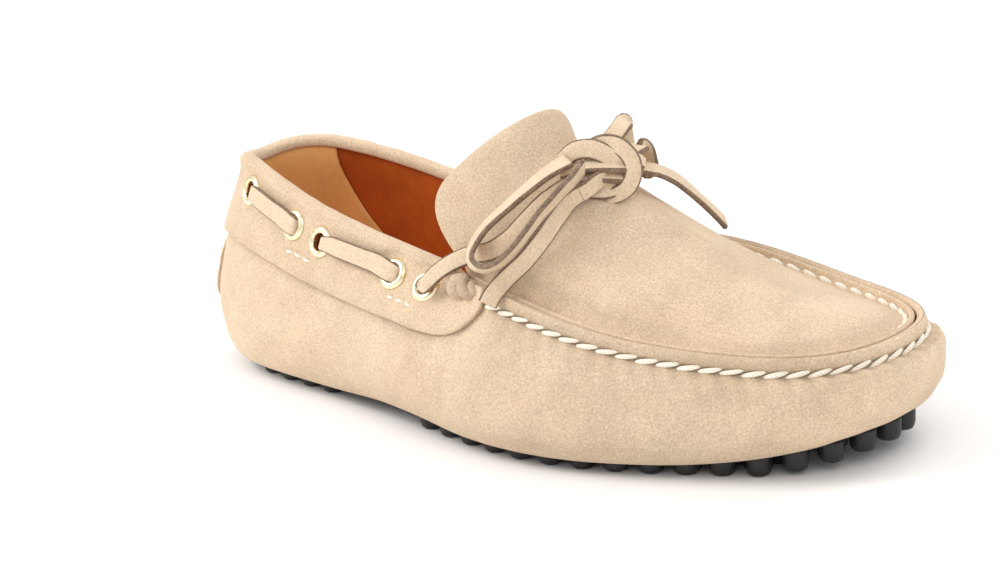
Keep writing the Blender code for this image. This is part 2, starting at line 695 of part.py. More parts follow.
def strip(name, end_x, fronts, path, mat):
    """Strip round the collar from end_x on one side, behind the heel, to end_x on the other."""
    us = [u_at((end_x - f) * GX, 1) - 1.0 for f in fronts]
    us += [u - 1.0 for u in even if u_at((end_x - fronts[-1] - 3.0) * GX, 1) < u]
    us += [u for u in even if u < u_at((end_x - fronts[-1] - 3.0) * GX, -1)]
    us += [u_at((end_x - f) * GX, -1) for f in fronts[::-1]]
    paths = np.array([path(u % 1.0, float(ribs(np.array(u % 1.0))[5])) for u in us])
    faces = grid_faces(len(paths), paths.shape[1])
    flat = paths.reshape(-1, 3)
    if np.dot(vertex_normals(flat, faces)[len(paths) // 2 * paths.shape[1] + 1], [-1, 0, 0]) < 0:
        faces = [f[::-1] for f in faces]
    verts, solid = thicken(flat, faces, BAND_T / 2, BAND_T / 2)
    return add(name, verts, solid, mat), verts[: len(flat)].reshape(paths.shape)


# the first stations are those of the band's rounded front ends
band, band_outside = strip("collar_band", BAND_END_X, [0.0, 1.8, 4.5, 8.5, 13.5], flap_path, BAND)
roll, _ = strip("collar_roll", ROLL_END_X, [0.0], roll_path, ROLL)

# ---------------------------------------------------------------- heel guard, proud of the body
GUARD_ROWS, GUARD_COLS = 8, 9
flat = []
for k in range(GUARD_ROWS):
    z = GUARD[0][0] + (GUARD[-1][0] - GUARD[0][0]) * k / (GUARD_ROWS - 1)
    w = float(along(GUARD, z)) * GY
    for j in range(GUARD_COLS):
        v = -1 + 2 * j / (GUARD_COLS - 1)
        u0 = (-v * w / _round.sum()) % 1.0
        s = np.linspace(0.1, 0.95, 300)
        p = outside(np.full(300, u0), s)
        at_s = float(np.interp(z * GZ, p[:, 2], s))
        flat.append(offset(np.array(u0), np.array(at_s), GAP + 0.2 + GUARD_T / 2))
flat = np.array(flat)
faces = grid_faces(GUARD_ROWS, GUARD_COLS)
if np.dot(vertex_normals(flat, faces)[GUARD_COLS * 3 + 4], [-1, 0, 0]) < 0:
    faces = [f[::-1] for f in faces]
verts, solid = thicken(flat, faces, GUARD_T / 2, GUARD_T / 2)
guard = add("heel_guard", verts, solid, GUARD_MAT)

# ---------------------------------------------------------------- eyelets, their holes, and the lace bars
TURN = 10
FRAMES = {}


def facet_points():
    """Points all over the facets of the band's outside."""
    g = band_outside
    a, b, c, d = g[:-1, :-1], g[1:, :-1], g[1:, 1:], g[:-1, 1:]
    pts = []
    for i in np.linspace(0, 1, 9):
        for j in np.linspace(0, 1, 9):
            pts.append(a * (1 - i) * (1 - j) + b * i * (1 - j) + c * i * j + d * (1 - i) * j)
    return np.array(pts).reshape(-1, 3)


FACETS = facet_points()


def rise_near(centre, n, radius):
    """How far the band's outside rises over the plane through centre within a radius."""
    p = FACETS - centre
    height = p @ n
    across = np.linalg.norm(p - height[:, None] * n, axis=1)
    return float(height[(across < radius) & (np.abs(height) < 6)].max())


cut_v, cut_f = [], []
for side, tag in ((-1, "lat"), (1, "med")):
    for number, (x, depth) in enumerate(EYELETS, 1):
        u = u_at(x * GX, side)
        s = np.linspace(0.5, 1.0, 400)
        p = outside(np.full(400, u), s)
        z = p[-1, 2] + BAND_GAP + BAND_T - depth * GZ
        at_s = np.array(float(np.interp(z, p[:, 2], s)))
        n = normal(np.array(u), at_s)
        centre = offset(np.array(u), at_s, BAND_GAP + BAND_T)
        side_dir = np.cross([0, 0, 1.0], n)
        side_dir /= np.linalg.norm(side_dir)
        up_dir = np.cross(n, side_dir)
        lift = GAP + rise_near(centre, n, EYELET_D / 2 + 0.6)
        FRAMES[(side, number)] = (centre, n, side_dir, up_dir, lift)
        ring_profile = [
            (EYELET_BORE / 2, lift + 0.15),
            (EYELET_BORE / 2 + 0.7, lift + 0.75),
            (EYELET_D / 2 - 0.5, lift + 0.55),
            (EYELET_D / 2, lift + 0.02),
            (EYELET_BARREL / 2, lift),
            (EYELET_BARREL / 2, -(BAND_T + BAND_GAP + WALL) - 0.5),
            (EYELET_BORE / 2, -(BAND_T + BAND_GAP + WALL) - 0.5),
        ]
        verts = []
        for i in range(TURN):
            a = 2 * math.pi * i / TURN
            d = side_dir * math.cos(a) + up_dir * math.sin(a)
            for r, h in ring_profile:
                verts.append(centre + d * r + n * h)
        faces = grid_faces(TURN, len(ring_profile), closed_rows=True, closed_cols=True)
        add(f"eyelet_{tag}_{number}", verts, faces, BRASS)
        at = len(cut_v)
        for h in (-9.0, 5.0):
            for i in range(TURN):
                a = 2 * math.pi * i / TURN
                d = side_dir * math.cos(a) + up_dir * math.sin(a)
                cut_v.append(centre + d * (EYELET_BARREL / 2 + GAP) + n * h)
        cut_f += [(at + i, at + (i + 1) % TURN, at + TURN + (i + 1) % TURN, at + TURN + i) for i in range(TURN)]
        cut_f += [tuple(at + i for i in range(TURN))[::-1], tuple(at + TURN + i for i in range(TURN))]
cutter = add("eyelet_cutter", cut_v, cut_f, None, hidden=True)
for ob in (upper, band):
    cut(ob, cutter)


def face_outward(ob):
    """Turns every face of a closed mesh outward."""
    mesh = ob.data
    volume = 0.0
    co = np.array([v.co for v in mesh.vertices])
    for p in mesh.polygons:
        ids = list(p.vertices)
        for i in range(1, len(ids) - 1):
            volume += np.dot(co[ids[0]], np.cross(co[ids[i]], co[ids[i + 1]]))
    if volume < 0:
        mesh.flip_normals()
        mesh.update()


def bar(name, first, second, side):
    """Flat thong outside the band from one eyelet to the next."""
    c1, n1, _, _, lift1 = FRAMES[(side, first)]
    c2, n2, _, _, lift2 = FRAMES[(side, second)]
    lift = max(lift1, lift2) + 0.8 + GAP + THONG_T / 2
    n = 9
    mids, normals = [], []
    for i in range(n):
        t = i / (n - 1)
        nn = n1 * (1 - t) + n2 * t
        nn /= np.linalg.norm(nn)
        point = c1 * (1 - t) + c2 * t
        u = u_at(float(point[0]), side)
        s = np.linspace(0.5, 1.0, 200)
        p = outside(np.full(200, u), s)
        at_s = np.array(float(np.interp(point[2], p[:, 2], s)))
        base = offset(np.array(u), at_s, BAND_GAP + BAND_T)
        mids.append(base + nn * lift)
        normals.append(nn)
    mids, normals = np.array(mids), np.array(normals)
    tangent = np.gradient(mids, axis=0)
    verts = []
    for p, nn, t in zip(mids, normals, tangent):
        t = t / np.linalg.norm(t)
        across = np.cross(nn, t)
        across /= np.linalg.norm(across)
        out = np.cross(t, across)
        for a, b in ((-1, -1), (1, -1), (1, 1), (-1, 1)):
            verts.append(p + across * a * THONG_W / 2 + out * b * THONG_T / 2)
    faces = grid_faces(n, 4, closed_cols=True)
    faces += [(0, 1, 2, 3), tuple(4 * (n - 1) + i for i in (3, 2, 1, 0))]
    return add(name, verts, faces, THONG)


for side, tag in ((-1, "lat"), (1, "med")):
    bar(f"lace_bar_{tag}_rear", 1, 2, side)
    bar(f"lace_bar_{tag}_front", 3, 4, side)

# ---------------------------------------------------------------- bow: ties, knot, loops and ends as free cord
CORD_D = 3.2
BOW = {
    "lace_tie_lat": [(126.6, -47.6, 52.1), (131.1, -45.6, 56.6), (135.0, -42.5, 59.5), (139.6, -39.7, 61.6), (148.0, -39.6, 63.9), (155.1, -38.2, 68.3), (159.6, -34.5, 73.8), (162.5, -28.3, 78.6), (164.6, -21.0, 81.4), (166.2, -14.3, 83.3)],
    "lace_tie_med": [(126.5, 37.5, 52.5), (131.5, 35.2, 56.0), (137.0, 33.3, 58.3), (146.3, 27.6, 68.0), (151.8, 21.6, 77.0), (156.6, 13.0, 83.8), (160.2, 5.6, 87.2)],
    "lace_knot": [(163.4, -12.6, 87.2), (165.6, -10.4, 91.2), (170.0, -7.6, 92.8), (174.6, -6.4, 91.2), (177.0, -6.4, 87.6), (176.8, -7.6, 83.8)],
    "lace_loop_lat": [(163.9, -17.2, 89.7), (161.2, -22.6, 87.6), (158.0, -29.0, 83.9), (154.0, -34.6, 79.2), (149.4, -38.4, 74.4), (145.6, -41.5, 69.4), (144.4, -44.2, 65.6), (147.4, -48.0, 62.6), (152.8, -49.6, 61.6), (158.8, -49.2, 63.8), (163.4, -46.4, 68.4), (166.2, -42.6, 73.4), (168.2, -36.8, 78.6), (169.8, -30.2, 82.9), (171.0, -23.0, 86.6), (170.5, -18.6, 88.4)],
    "lace_loop_med": [(163.6, 4.6, 90.4), (164.6, 8.4, 93.4), (163.6, 13.0, 95.0), (160.6, 17.6, 93.6), (157.4, 22.0, 90.0), (154.6, 26.6, 84.8), (153.0, 30.6, 79.2), (153.6, 33.4, 74.6), (157.0, 33.6, 73.6), (160.8, 30.6, 76.6), (164.0, 25.6, 81.0), (167.0, 19.6, 85.2), (169.6, 14.0, 87.6), (171.6, 9.4, 88.4)],
    "lace_end_lat": [(172.6, -19.8, 81.9), (169.4, -24.0, 79.3), (168.2, -30.2, 74.9), (167.2, -36.4, 69.8), (164.0, -41.9, 63.6), (159.0, -45.2, 58.2), (157.0, -50.5, 53.9), (155.6, -51.8, 50.8)],
    "lace_end_med": [(174.8, 6.0, 82.9), (176.7, 12.0, 80.9), (178.4, 19.0, 77.0), (180.0, 26.6, 70.6), (180.8, 34.4, 63.6), (181.6, 41.4, 56.9)],
}
for name, route in BOW.items():
    length = np.linalg.norm(np.diff(np.array(route), axis=0), axis=1).sum()
    cord(name, route, max(6, int(round(length / 7.5)) + 1), CORD_D, THONG)

for ob in PARTS.values():
    face_outward(ob)
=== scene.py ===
"""Looks of the right driving moccasin: napped suede, whip-stitched apron seam, brass eyelets, thong bow, pebbled sole.

Every piece is built in millimetres of the shoe's own pattern, from the same sizes and tables as its solids, and placed in
metres in their frame. X runs heel to toe, +Y is the medial side, Z is up.
"""

import math

import bpy
import numpy as np
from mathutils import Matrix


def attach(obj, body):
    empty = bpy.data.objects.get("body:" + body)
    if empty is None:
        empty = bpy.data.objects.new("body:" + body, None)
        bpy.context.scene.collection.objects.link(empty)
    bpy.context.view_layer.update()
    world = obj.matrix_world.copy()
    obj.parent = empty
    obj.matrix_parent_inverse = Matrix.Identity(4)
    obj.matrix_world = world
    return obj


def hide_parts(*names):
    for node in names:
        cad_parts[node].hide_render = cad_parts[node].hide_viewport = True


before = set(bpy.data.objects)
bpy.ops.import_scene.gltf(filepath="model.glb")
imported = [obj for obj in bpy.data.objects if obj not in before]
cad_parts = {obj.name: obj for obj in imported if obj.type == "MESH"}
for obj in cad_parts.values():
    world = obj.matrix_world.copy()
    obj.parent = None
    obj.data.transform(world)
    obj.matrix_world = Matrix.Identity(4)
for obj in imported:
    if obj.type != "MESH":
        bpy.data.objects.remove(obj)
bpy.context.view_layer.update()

# ---------------------------------------------------------------- the shoe's own sizes, millimetres, as in its solids
LENGTH = 276.0  # heel back to toe tip
BALL_WIDTH = 107.0  # across the ball, outside the suede
BACK_HEIGHT = 76.0  # floor to the top of the collar at the heel
INSTEP_HEIGHT = 80.5  # floor to the apron at the lace knot
WALL = 2.0  # suede with its lining
BAND_T = 1.6  # collar band
APRON_T = 1.8  # apron and tongue
GUARD_T = 1.7  # heel guard
PLATE_T = 2.2  # rubber sheet that carries the pebbles
INSOLE_T = 2.6
GAP = 0.3  # between pieces that meet
BAND_GAP = 0.62  # under the band and the roll, which bend over the body
MARGIN = 6.0  # suede turned under the foot
PEBBLE_D = 8.6
PEBBLE_TIP_D = 7.6
PEBBLE_PITCH = 11.2
PEBBLE_INSET = 9.6  # centre of the outer row from the suede's lower edge
EYELET_D = 10.6
EYELET_BORE = 5.6
EYELET_BARREL = 6.6
LEG_DEPTH = 4.2  # band turned over into the shoe
THONG_W = 6.2
THONG_T = 2.3

PATTERN_LENGTH, PATTERN_WIDTH, PATTERN_BACK, PATTERN_INSTEP = 276.0, 107.0, 76.0, 80.5
GX = LENGTH / PATTERN_LENGTH
GY = BALL_WIDTH / PATTERN_WIDTH
GZ = BACK_HEIGHT / PATTERN_BACK
GI = INSTEP_HEIGHT / PATTERN_INSTEP
ORIGIN = (137.05, -5.0, 0.0)  # pattern point that becomes the part's origin

# ---------------------------------------------------------------- tables
# one row for each rib, round the shoe from the heel back along the lateral side to the toe and home
# foot_x foot_y: edge where the suede turns under; belly, belly_z: how far out and up the fullest point is;
# shoulder: how full the wall is above it; rim_x rim_y rim_z: top edge of the suede
RIB_COLUMNS = "foot_x foot_y belly belly_z shoulder rim_x rim_y rim_z".split()
RIBS = [
    (4.8, 0.5, 4.6, 24, 1.0, 10.5, 1.5, 72.0),
    (8.6, -15.5, 4.3, 23, 1.0, 14.5, -9.5, 73.4),
    (20.5, -26.2, 4.2, 22, 1.0, 24.0, -17.6, 74.6),
    (40.0, -32.5, 4.2, 21, 1.0, 39.5, -24.6, 72.4),
    (65.0, -36.5, 4.2, 20, 0.8, 62.0, -30.8, 67.2),
    (92.0, -42.0, 4.2, 19, 0.6, 88.0, -35.2, 62.2),
    (115.0, -48.5, 4.4, 18, 0.6, 112.0, -38.0, 58.3),
    (130.0, -52.6, 4.6, 18, 1.0, 128.0, -39.4, 55.6),
    (146.0, -56.0, 4.8, 17, 1.6, 144.0, -43.2, 53.8),
    (163.0, -57.6, 4.8, 16, 2.0, 161.0, -48.0, 52.4),
    (182.0, -56.2, 4.6, 16, 2.0, 180.0, -50.2, 49.4),
    (202.0, -51.0, 4.4, 15, 2.0, 199.0, -48.4, 45.8),
    (222.0, -43.0, 4.2, 15, 2.0, 218.0, -43.4, 43.2),
    (240.0, -34.8, 4.0, 14, 2.0, 237.0, -36.4, 41.4),
    (255.0, -25.6, 4.0, 14, 2.0, 252.5, -27.2, 40.4),
    (265.2, -13.2, 4.0, 14, 2.0, 263.6, -14.6, 40.2),
    (271.3, 3.0, 4.0, 14, 2.0, 269.9, 2.8, 40.8),
    (271.1, 20.0, 4.0, 14, 2.0, 269.5, 19.4, 41.6),
    (263.8, 34.0, 4.0, 14, 2.0, 262.7, 30.8, 42.0),
    (250.0, 43.0, 4.0, 15, 2.0, 250.0, 38.4, 42.6),
    (231.0, 47.8, 4.2, 15, 2.0, 231.0, 42.8, 44.2),
    (210.0, 47.4, 4.3, 16, 2.0, 210.0, 44.0, 47.8),
    (188.0, 43.6, 4.3, 17, 2.0, 188.0, 42.4, 51.6),
    (166.0, 38.6, 4.2, 17, 2.0, 166.0, 38.0, 53.6),
    (148.0, 35.2, 4.0, 18, 1.6, 148.0, 33.2, 54.4),
    (131.0, 33.4, 3.8, 18, 1.0, 130.0, 29.8, 55.8),
    (110.0, 32.6, 3.6, 19, 0.6, 110.0, 28.2, 58.6),
    (85.0, 32.4, 3.6, 20, 0.6, 85.0, 28.4, 63.4),
    (60.0, 32.0, 3.8, 21, 0.8, 60.0, 28.4, 68.2),
    (38.0, 30.2, 4.0, 22, 1.0, 38.5, 26.4, 71.8),
    (19.8, 25.0, 4.2, 23, 1.0, 23.0, 20.6, 74.0),
    (8.6, 15.2, 4.3, 24, 1.0, 14.0, 12.2, 73.4),
]
# height of the suede's underside over the floor: heel, arch, ball, toe spring
BOTTOM = [(0, 4.3), (40, 4.2), (78, 4.5), (100, 5.8), (120, 6.0), (145, 4.6), (165, 4.2), (200, 4.2), (222, 4.9), (240, 7.0), (256, 10.2), (270, 14.2), (284, 19.0)]
# centre line of the apron and tongue, toe to tongue top: x, height
CREST = [(250, 43.8), (238, 46.6), (224, 51.0), (210, 56.8), (198, 63.2), (188, 69.4), (178, 76.0), (169, 81.6), (162, 85.4), (156, 89.4), (151.5, 93.6), (148.0, 97.8), (145.0, 101.6)]
SPINE_START, SPINE_END = 156.0, 250.0
SPINE_Y = [(145, -2.4), (152, -3.0), (162, -3.8), (190, -3.2), (215, 0.0), (235, 3.2), (250, 5.6)]
# rows of the tongue above the throat: centre x, z; lateral edge x, y, z; medial edge x, y, z; fullness across
TONGUE_COLUMNS = "cx cz lat_x lat_y lat_z med_x med_y med_z full".split()
TONGUE = [
    (151.5, 93.6, 128.5, -33.6, 59.0, 130.5, 25.0, 59.0, 1.90),
    (148.4, 97.4, 121.5, -32.6, 66.5, 129.0, 26.0, 66.0, 1.75),
    (146.0, 100.2, 118.6, -30.6, 74.0, 132.0, 25.6, 73.5, 1.40),
    (144.0, 101.4, 119.4, -26.0, 80.0, 137.5, 22.4, 80.0, 1.00),
]
# eyelets of each side: station along the shoe, depth below the collar's top edge
EYELETS = [(31.5, 9.9), (57.5, 11.2), (71.5, 11.6), (108.0, 10.7), (123.0, 10.4)]
# collar band's lower edge: distance from its front end and depth below the top, then station and depth
BAND_FRONT = [(0.0, 6.5), (2.0, 9.6), (5.0, 12.8), (9.0, 15.4), (14.0, 17.2), (20.0, 18.4), (30.0, 20.0)]
BAND_DROP = [(0.0, 24.4), (30.0, 25.4), (60.0, 24.6), (95.0, 22.4), (120.0, 20.0), (150.0, 20.0)]
BAND_END_X = 150.0
# heel guard: height up the heel, half width
GUARD = [(7.5, 15.0), (14.0, 17.0), (24.0, 17.6), (33.0, 15.8), (40.0, 12.2), (45.0, 6.0)]


def table(rows, columns):
    return {name: np.array([row[i] for row in rows], float) for i, name in enumerate(columns)}


def along(pairs, x):
    """Smooth curve through (x, value) pairs."""
    px = np.array([p[0] for p in pairs], float)
    py = np.array([p[1] for p in pairs], float)
    if px[0] > px[-1]:
        px, py = px[::-1], py[::-1]
    h = np.diff(px)
    d = np.diff(py) / h
    m = np.empty(len(px))
    m[1:-1] = (d[:-1] * h[1:] + d[1:] * h[:-1]) / (h[1:] + h[:-1])
    m[0], m[-1] = d[0], d[-1]
    x = np.clip(np.asarray(x, float), px[0], px[-1])
    k = np.clip(np.searchsorted(px, x) - 1, 0, len(h) - 1)
    t = (x - px[k]) / h[k]
    return (
        py[k] * (1 + 2 * t) * (1 - t) ** 2
        + m[k] * h[k] * t * (1 - t) ** 2
        + py[k + 1] * t**2 * (3 - 2 * t)
        + m[k + 1] * h[k] * t**2 * (t - 1)
    )


class Loop:
    """Closed cubic spline with continuous curvature through rows of numbers; parameter 0 to 1."""

    def __init__(self, knots, values):
        self.t, self.v = np.asarray(knots, float), np.asarray(values, float)
        n = len(self.v)
        h = np.diff(np.append(self.t, 1.0))
        a = np.zeros((n, n))
        b = np.zeros((n, self.v.shape[1]))
        for i in range(n):
            j, k = (i - 1) % n, (i + 1) % n
            a[i, j] += 1 / h[j]
            a[i, i] += 2 / h[j] + 2 / h[i]
            a[i, k] += 1 / h[i]
            b[i] = 3 * (self.v[i] - self.v[j]) / h[j] ** 2 + 3 * (self.v[k] - self.v[i]) / h[i] ** 2
        self.m, self.h = np.linalg.solve(a, b), h

    def __call__(self, u):
        u = np.mod(np.asarray(u, float), 1.0)
        i = np.clip(np.searchsorted(self.t, u, side="right") - 1, 0, len(self.t) - 1)
        j = (i + 1) % len(self.t)
        h = self.h[i][..., None]
        s = ((u - self.t[i]) / self.h[i])[..., None]
        return (
            self.v[i] * (1 + 2 * s) * (1 - s) ** 2
            + self.m[i] * h * s * (1 - s) ** 2
            + self.v[j] * s**2 * (3 - 2 * s)
            + self.m[j] * h * s**2 * (s - 1)
        )


rib = table(RIBS, RIB_COLUMNS)
for key in ("foot_x", "rim_x"):
    rib[key] *= GX
for key in ("foot_y", "rim_y", "belly", "shoulder"):
    rib[key] *= GY
for key in ("belly_z", "rim_z"):
    rib[key] *= GZ
_round = np.hypot(
    np.diff(np.append(rib["foot_x"], rib["foot_x"][0])), np.diff(np.append(rib["foot_y"], rib["foot_y"][0]))
)
KNOTS = np.concatenate([[0.0], np.cumsum(_round)[:-1]]) / _round.sum()
ribs = Loop(KNOTS, np.stack([rib[c] for c in RIB_COLUMNS], 1))


def plan_normal(column, u):
    """Outward direction, in plan, of the loop that starts at that column."""
    e = 1e-4
    d = (ribs(u + e) - ribs(u - e))[..., column : column + 2]
    n = np.stack([d[..., 1], -d[..., 0]], -1)
    n = n / np.linalg.norm(n, axis=-1, keepdims=True)
    return np.concatenate([n, np.zeros(n.shape[:-1] + (1,))], -1)


def bottom(x):
    return along([(a * GX, b) for a, b in BOTTOM], x)


PROFILE = np.array([0.0, 0.10, 0.17, 0.24, 0.40, 0.56, 0.76, 0.91, 1.0])  # where the eight points of a rib lie


def rib_points(u):
    """Control points of the outside of the ribs at u: under the foot, round the edge, belly, shoulder, rim."""
    r = ribs(u)
    foot = np.stack([r[..., 0], r[..., 1], bottom(r[..., 0])], -1)
    out = plan_normal(0, u)
    up = np.array([0.0, 0.0, 1.0])
    rim = np.stack([r[..., 5], r[..., 6], r[..., 7]], -1)
    rim_out = plan_normal(5, u)
    belly, belly_z, shoulder = r[..., 2:3], r[..., 3:4], r[..., 4:5]
    full = foot + out * belly + up * belly_z
    high = 0.5 * (full + rim) + out * shoulder
    neck = rim + rim_out * 0.5 * shoulder - up * 5.0

    def under(inset, rise):
        p = foot - out * inset
        p[..., 2] = bottom(p[..., 0]) + rise
        return p

    return np.stack(
        [
            under(MARGIN, 0.0),
            under(2.6, 0.25),
            under(0.2, 1.7),
            foot + out * 1.6 + up * 4.6,
            foot + out * belly * 0.82 + up * belly_z * 0.55,
            full,
            high,
            neck,
            rim,
        ],
        -2,
    )


def outside(u, s):
    """Outer surface of the suede body: u round the shoe, s up the rib from 0 at the sole opening to 1 at the rim."""
    u, s = np.broadcast_arrays(np.asarray(u, float), np.asarray(s, float))
    p = rib_points(u)
    t = PROFILE
    h = np.diff(t)
    d = np.diff(p, axis=-2) / h[:, None]
    m = np.empty_like(p)
    m[..., 1:-1, :] = (d[..., :-1, :] * h[1:, None] + d[..., 1:, :] * h[:-1, None]) / (h[1:] + h[:-1])[:, None]
    m[..., 0, :], m[..., -1, :] = d[..., 0, :], d[..., -1, :]
    k = np.clip(np.searchsorted(t, s) - 1, 0, len(h) - 1)

    def take(a):
        return np.take_along_axis(a, k[..., None, None], axis=-2)[..., 0, :]

    def take_next(a):
        return np.take_along_axis(a, (k + 1)[..., None, None], axis=-2)[..., 0, :]

    w = h[k][..., None]
    q = ((s - t[k]) / h[k])[..., None]
    return (
        take(p) * (1 + 2 * q) * (1 - q) ** 2
        + take(m) * w * q * (1 - q) ** 2
        + take_next(p) * q**2 * (3 - 2 * q)
        + take_next(m) * w * q**2 * (q - 1)
    )


def normal(u, s):
    e = 2e-3
    du = outside(u + 1e-4, s) - outside(u - 1e-4, s)
    ds = outside(u, np.minimum(s + e, 1)) - outside(u, np.maximum(s - e, 0))
    n = np.cross(du, ds)
    n /= np.linalg.norm(n, axis=-1, keepdims=True)
    return n


def offset(u, s, d):
    return outside(u, s) + normal(u, s) * np.asarray(d)[..., None] if np.ndim(d) else outside(u, s) + normal(u, s) * d


def u_at(x, side):
    """Rim parameter at a station along the shoe; side -1 lateral, +1 medial."""
    uu = np.linspace(0.0, 1.0, 2001)
    r = ribs(uu)
    tip = uu[r[:, 5].argmax()]
    low, high = (0.0, tip) if side < 0 else (tip, 1.0)
    pick = (uu >= low) & (uu <= high)
    xs, us = r[pick, 5], uu[pick]
    order = np.argsort(xs)
    return float(np.interp(x, xs[order], us[order]))



def grid_faces(rows, cols, closed_rows=False, closed_cols=False):
    faces = []
    for i in range(rows - (0 if closed_rows else 1)):
        for j in range(cols - (0 if closed_cols else 1)):
            a, b = i % rows, (i + 1) % rows
            c, d = j % cols, (j + 1) % cols
            faces.append((a * cols + c, b * cols + c, b * cols + d, a * cols + d))
    return faces


def vertex_normals(verts, faces):
    n = np.zeros_like(verts)
    for f in faces:
        p = verts[list(f)]
        k = np.cross(p[2] - p[0], p[3] - p[1]) if len(f) == 4 else np.cross(p[1] - p[0], p[2] - p[0])
        for i in f:
            n[i] += k
    return n / np.maximum(np.linalg.norm(n, axis=1, keepdims=True), 1e-9)


def resample(points, n):
    d = np.concatenate([[0.0], np.cumsum(np.linalg.norm(np.diff(points, axis=0), axis=1))])
    t = np.linspace(0.0, d[-1], n)
    return np.stack([np.interp(t, d, points[:, i]) for i in range(points.shape[1])], 1)


def smooth_route(points, count, closed=False):
    """Smooth curve through a route's own points, as count points at even distances."""
    p = np.asarray(points, float)
    t = np.concatenate([[0.0], np.cumsum(np.linalg.norm(np.diff(p, axis=0), axis=1) ** 0.5)])
    h = np.diff(t)
    d = np.diff(p, axis=0) / h[:, None]
    m = np.empty_like(p)
    m[1:-1] = (d[:-1] * h[1:, None] + d[1:] * h[:-1, None]) / (h[1:] + h[:-1])[:, None]
    m[0], m[-1] = d[0], d[-1]
    x = np.linspace(0, t[-1], 60 * len(p))
    k = np.clip(np.searchsorted(t, x) - 1, 0, len(h) - 1)
    q = ((x - t[k]) / h[k])[:, None]
    w = h[k][:, None]
    fine = p[k] * (1 + 2 * q) * (1 - q) ** 2 + m[k] * w * q * (1 - q) ** 2 + p[k + 1] * q**2 * (3 - 2 * q) + m[k + 1] * w * q**2 * (q - 1)
    return resample(fine, count)


U_RIBS = 56


def ring(inset, n=U_RIBS):
    """Outline inside the foot's edge; with the ribs' own number of points its sides lie along the upper's."""
    u = np.interp(np.linspace(0, 1, n, endpoint=False), np.linspace(0, 1, len(KNOTS) + 1), np.append(KNOTS, 1.0))
    r = ribs(u)
    return (np.stack([r[:, 0], r[:, 1], np.zeros(n)], 1) - plan_normal(0, u) * inset)[:, :2]


def inside(polygon, p):
    x, y = p
    a, b = polygon, np.roll(polygon, -1, axis=0)
    hit = ((a[:, 1] > y) != (b[:, 1] > y)) & (
        x < (b[:, 0] - a[:, 0]) * (y - a[:, 1]) / np.where(b[:, 1] == a[:, 1], 1e-9, b[:, 1] - a[:, 1]) + a[:, 0]
    )
    return hit.sum() % 2 == 1


def pebble_centres():
    """Rows across the shoe: an outer row that follows the edge and a staggered field inside it, none under the arch."""
    edge = ring(PEBBLE_INSET, 400)
    field = ring(PEBBLE_INSET + PEBBLE_PITCH * 0.80, 200)
    closed = np.vstack([edge, edge[:1]])
    d = np.concatenate([[0.0], np.cumsum(np.linalg.norm(np.diff(closed, axis=0), axis=1))])
    count = int(round(d[-1] / PEBBLE_PITCH))
    t = (np.arange(count) + 0.5) * d[-1] / count
    centres = [np.array([np.interp(v, d, closed[:, 0]), np.interp(v, d, closed[:, 1])]) for v in t]
    row_h = PEBBLE_PITCH * 0.9
    for k in range(int(LENGTH / row_h) + 1):
        x = 15.0 + k * row_h
        shift = 0.5 * PEBBLE_PITCH * (k % 2)
        for j in range(-7, 8):
            p = np.array([x, j * PEBBLE_PITCH + shift - 2.0])
            if inside(field, p):
                centres.append(p)
    kept = []
    for p in centres:
        arch_front = 107.0 - 0.05 * p[1]
        arch_rear = 72.0
        if arch_rear < p[0] / GX < arch_front:
            continue
        if all(np.hypot(*(p - q)) > PEBBLE_D + 0.5 for q in kept):
            kept.append(p)
    return kept


def spine_point(x):
    return np.array([x, float(along(SPINE_Y, x)) * GY, float(along(CREST, x)) * GI])


def rim_frame(u):
    r = ribs(u)
    return r[5:8], -plan_normal(5, u)


def arch(base, crest, steep, share):
    """Points from the base of the apron up to its crest: share 0 to 1, steeper near the base where steep is 1."""
    a = share ** (1 + 0.5 * steep)
    rise = (1 - (1 - a) ** 2) ** (1 / (1 + 1.15 * steep))
    return np.array([base[0] + (crest[0] - base[0]) * a, base[1] + (crest[1] - base[1]) * a, base[2] + (crest[2] - base[2]) * rise])


def apron_column(u, crest):
    rim, inward = rim_frame(u)
    half = WALL / 2 + GAP + 0.25 + APRON_T / 2
    lip = rim + inward * (half + 0.9)
    lip[2] = rim[2] - 0.1
    mid = rim + inward * (half + 1.1)
    mid[2] = rim[2] - 2.6
    base = rim + inward * (half + 2.8)
    base[2] = rim[2] - 4.3
    steep = float(np.clip((228.0 - crest[0]) / 55.0, 0.0, 1.0))
    return [lip, mid] + [arch(base, crest, steep, s) for s in ACROSS[:-1]]


# ---------------------------------------------------------------- camera
AZ, EL, ROLL, FOCAL = 0.693616, 0.286893, -0.068093, 2965.2
EYE = np.array([727.0763, -732.2705, 319.8634])
back = np.array([math.sin(AZ) * math.cos(EL), -math.cos(AZ) * math.cos(EL), math.sin(EL)])
flat_right = np.array([math.cos(AZ), math.sin(AZ), 0.0])
flat_up = np.cross(back, flat_right)
right = math.cos(ROLL) * flat_right + math.sin(ROLL) * flat_up
upward = -math.sin(ROLL) * flat_right + math.cos(ROLL) * flat_up
TO_EYE = back


def place(p):
    return (np.asarray(p, float) - np.array(ORIGIN)) / 1000.0


cam_data = bpy.data.cameras.new("camera")
cam_data.sensor_width = 36.0
cam_data.lens = FOCAL / 1000.0 * 36.0
cam_data.clip_start = 0.05
cam_data.clip_end = 20.0
camera = bpy.data.objects.new("camera", cam_data)
bpy.context.scene.collection.objects.link(camera)
m = np.eye(4)
m[:3, 0], m[:3, 1], m[:3, 2], m[:3, 3] = right, upward, back, place(EYE)
from mathutils import Matrix

camera.matrix_world = Matrix([list(r) for r in m])
bpy.context.scene.camera = camera


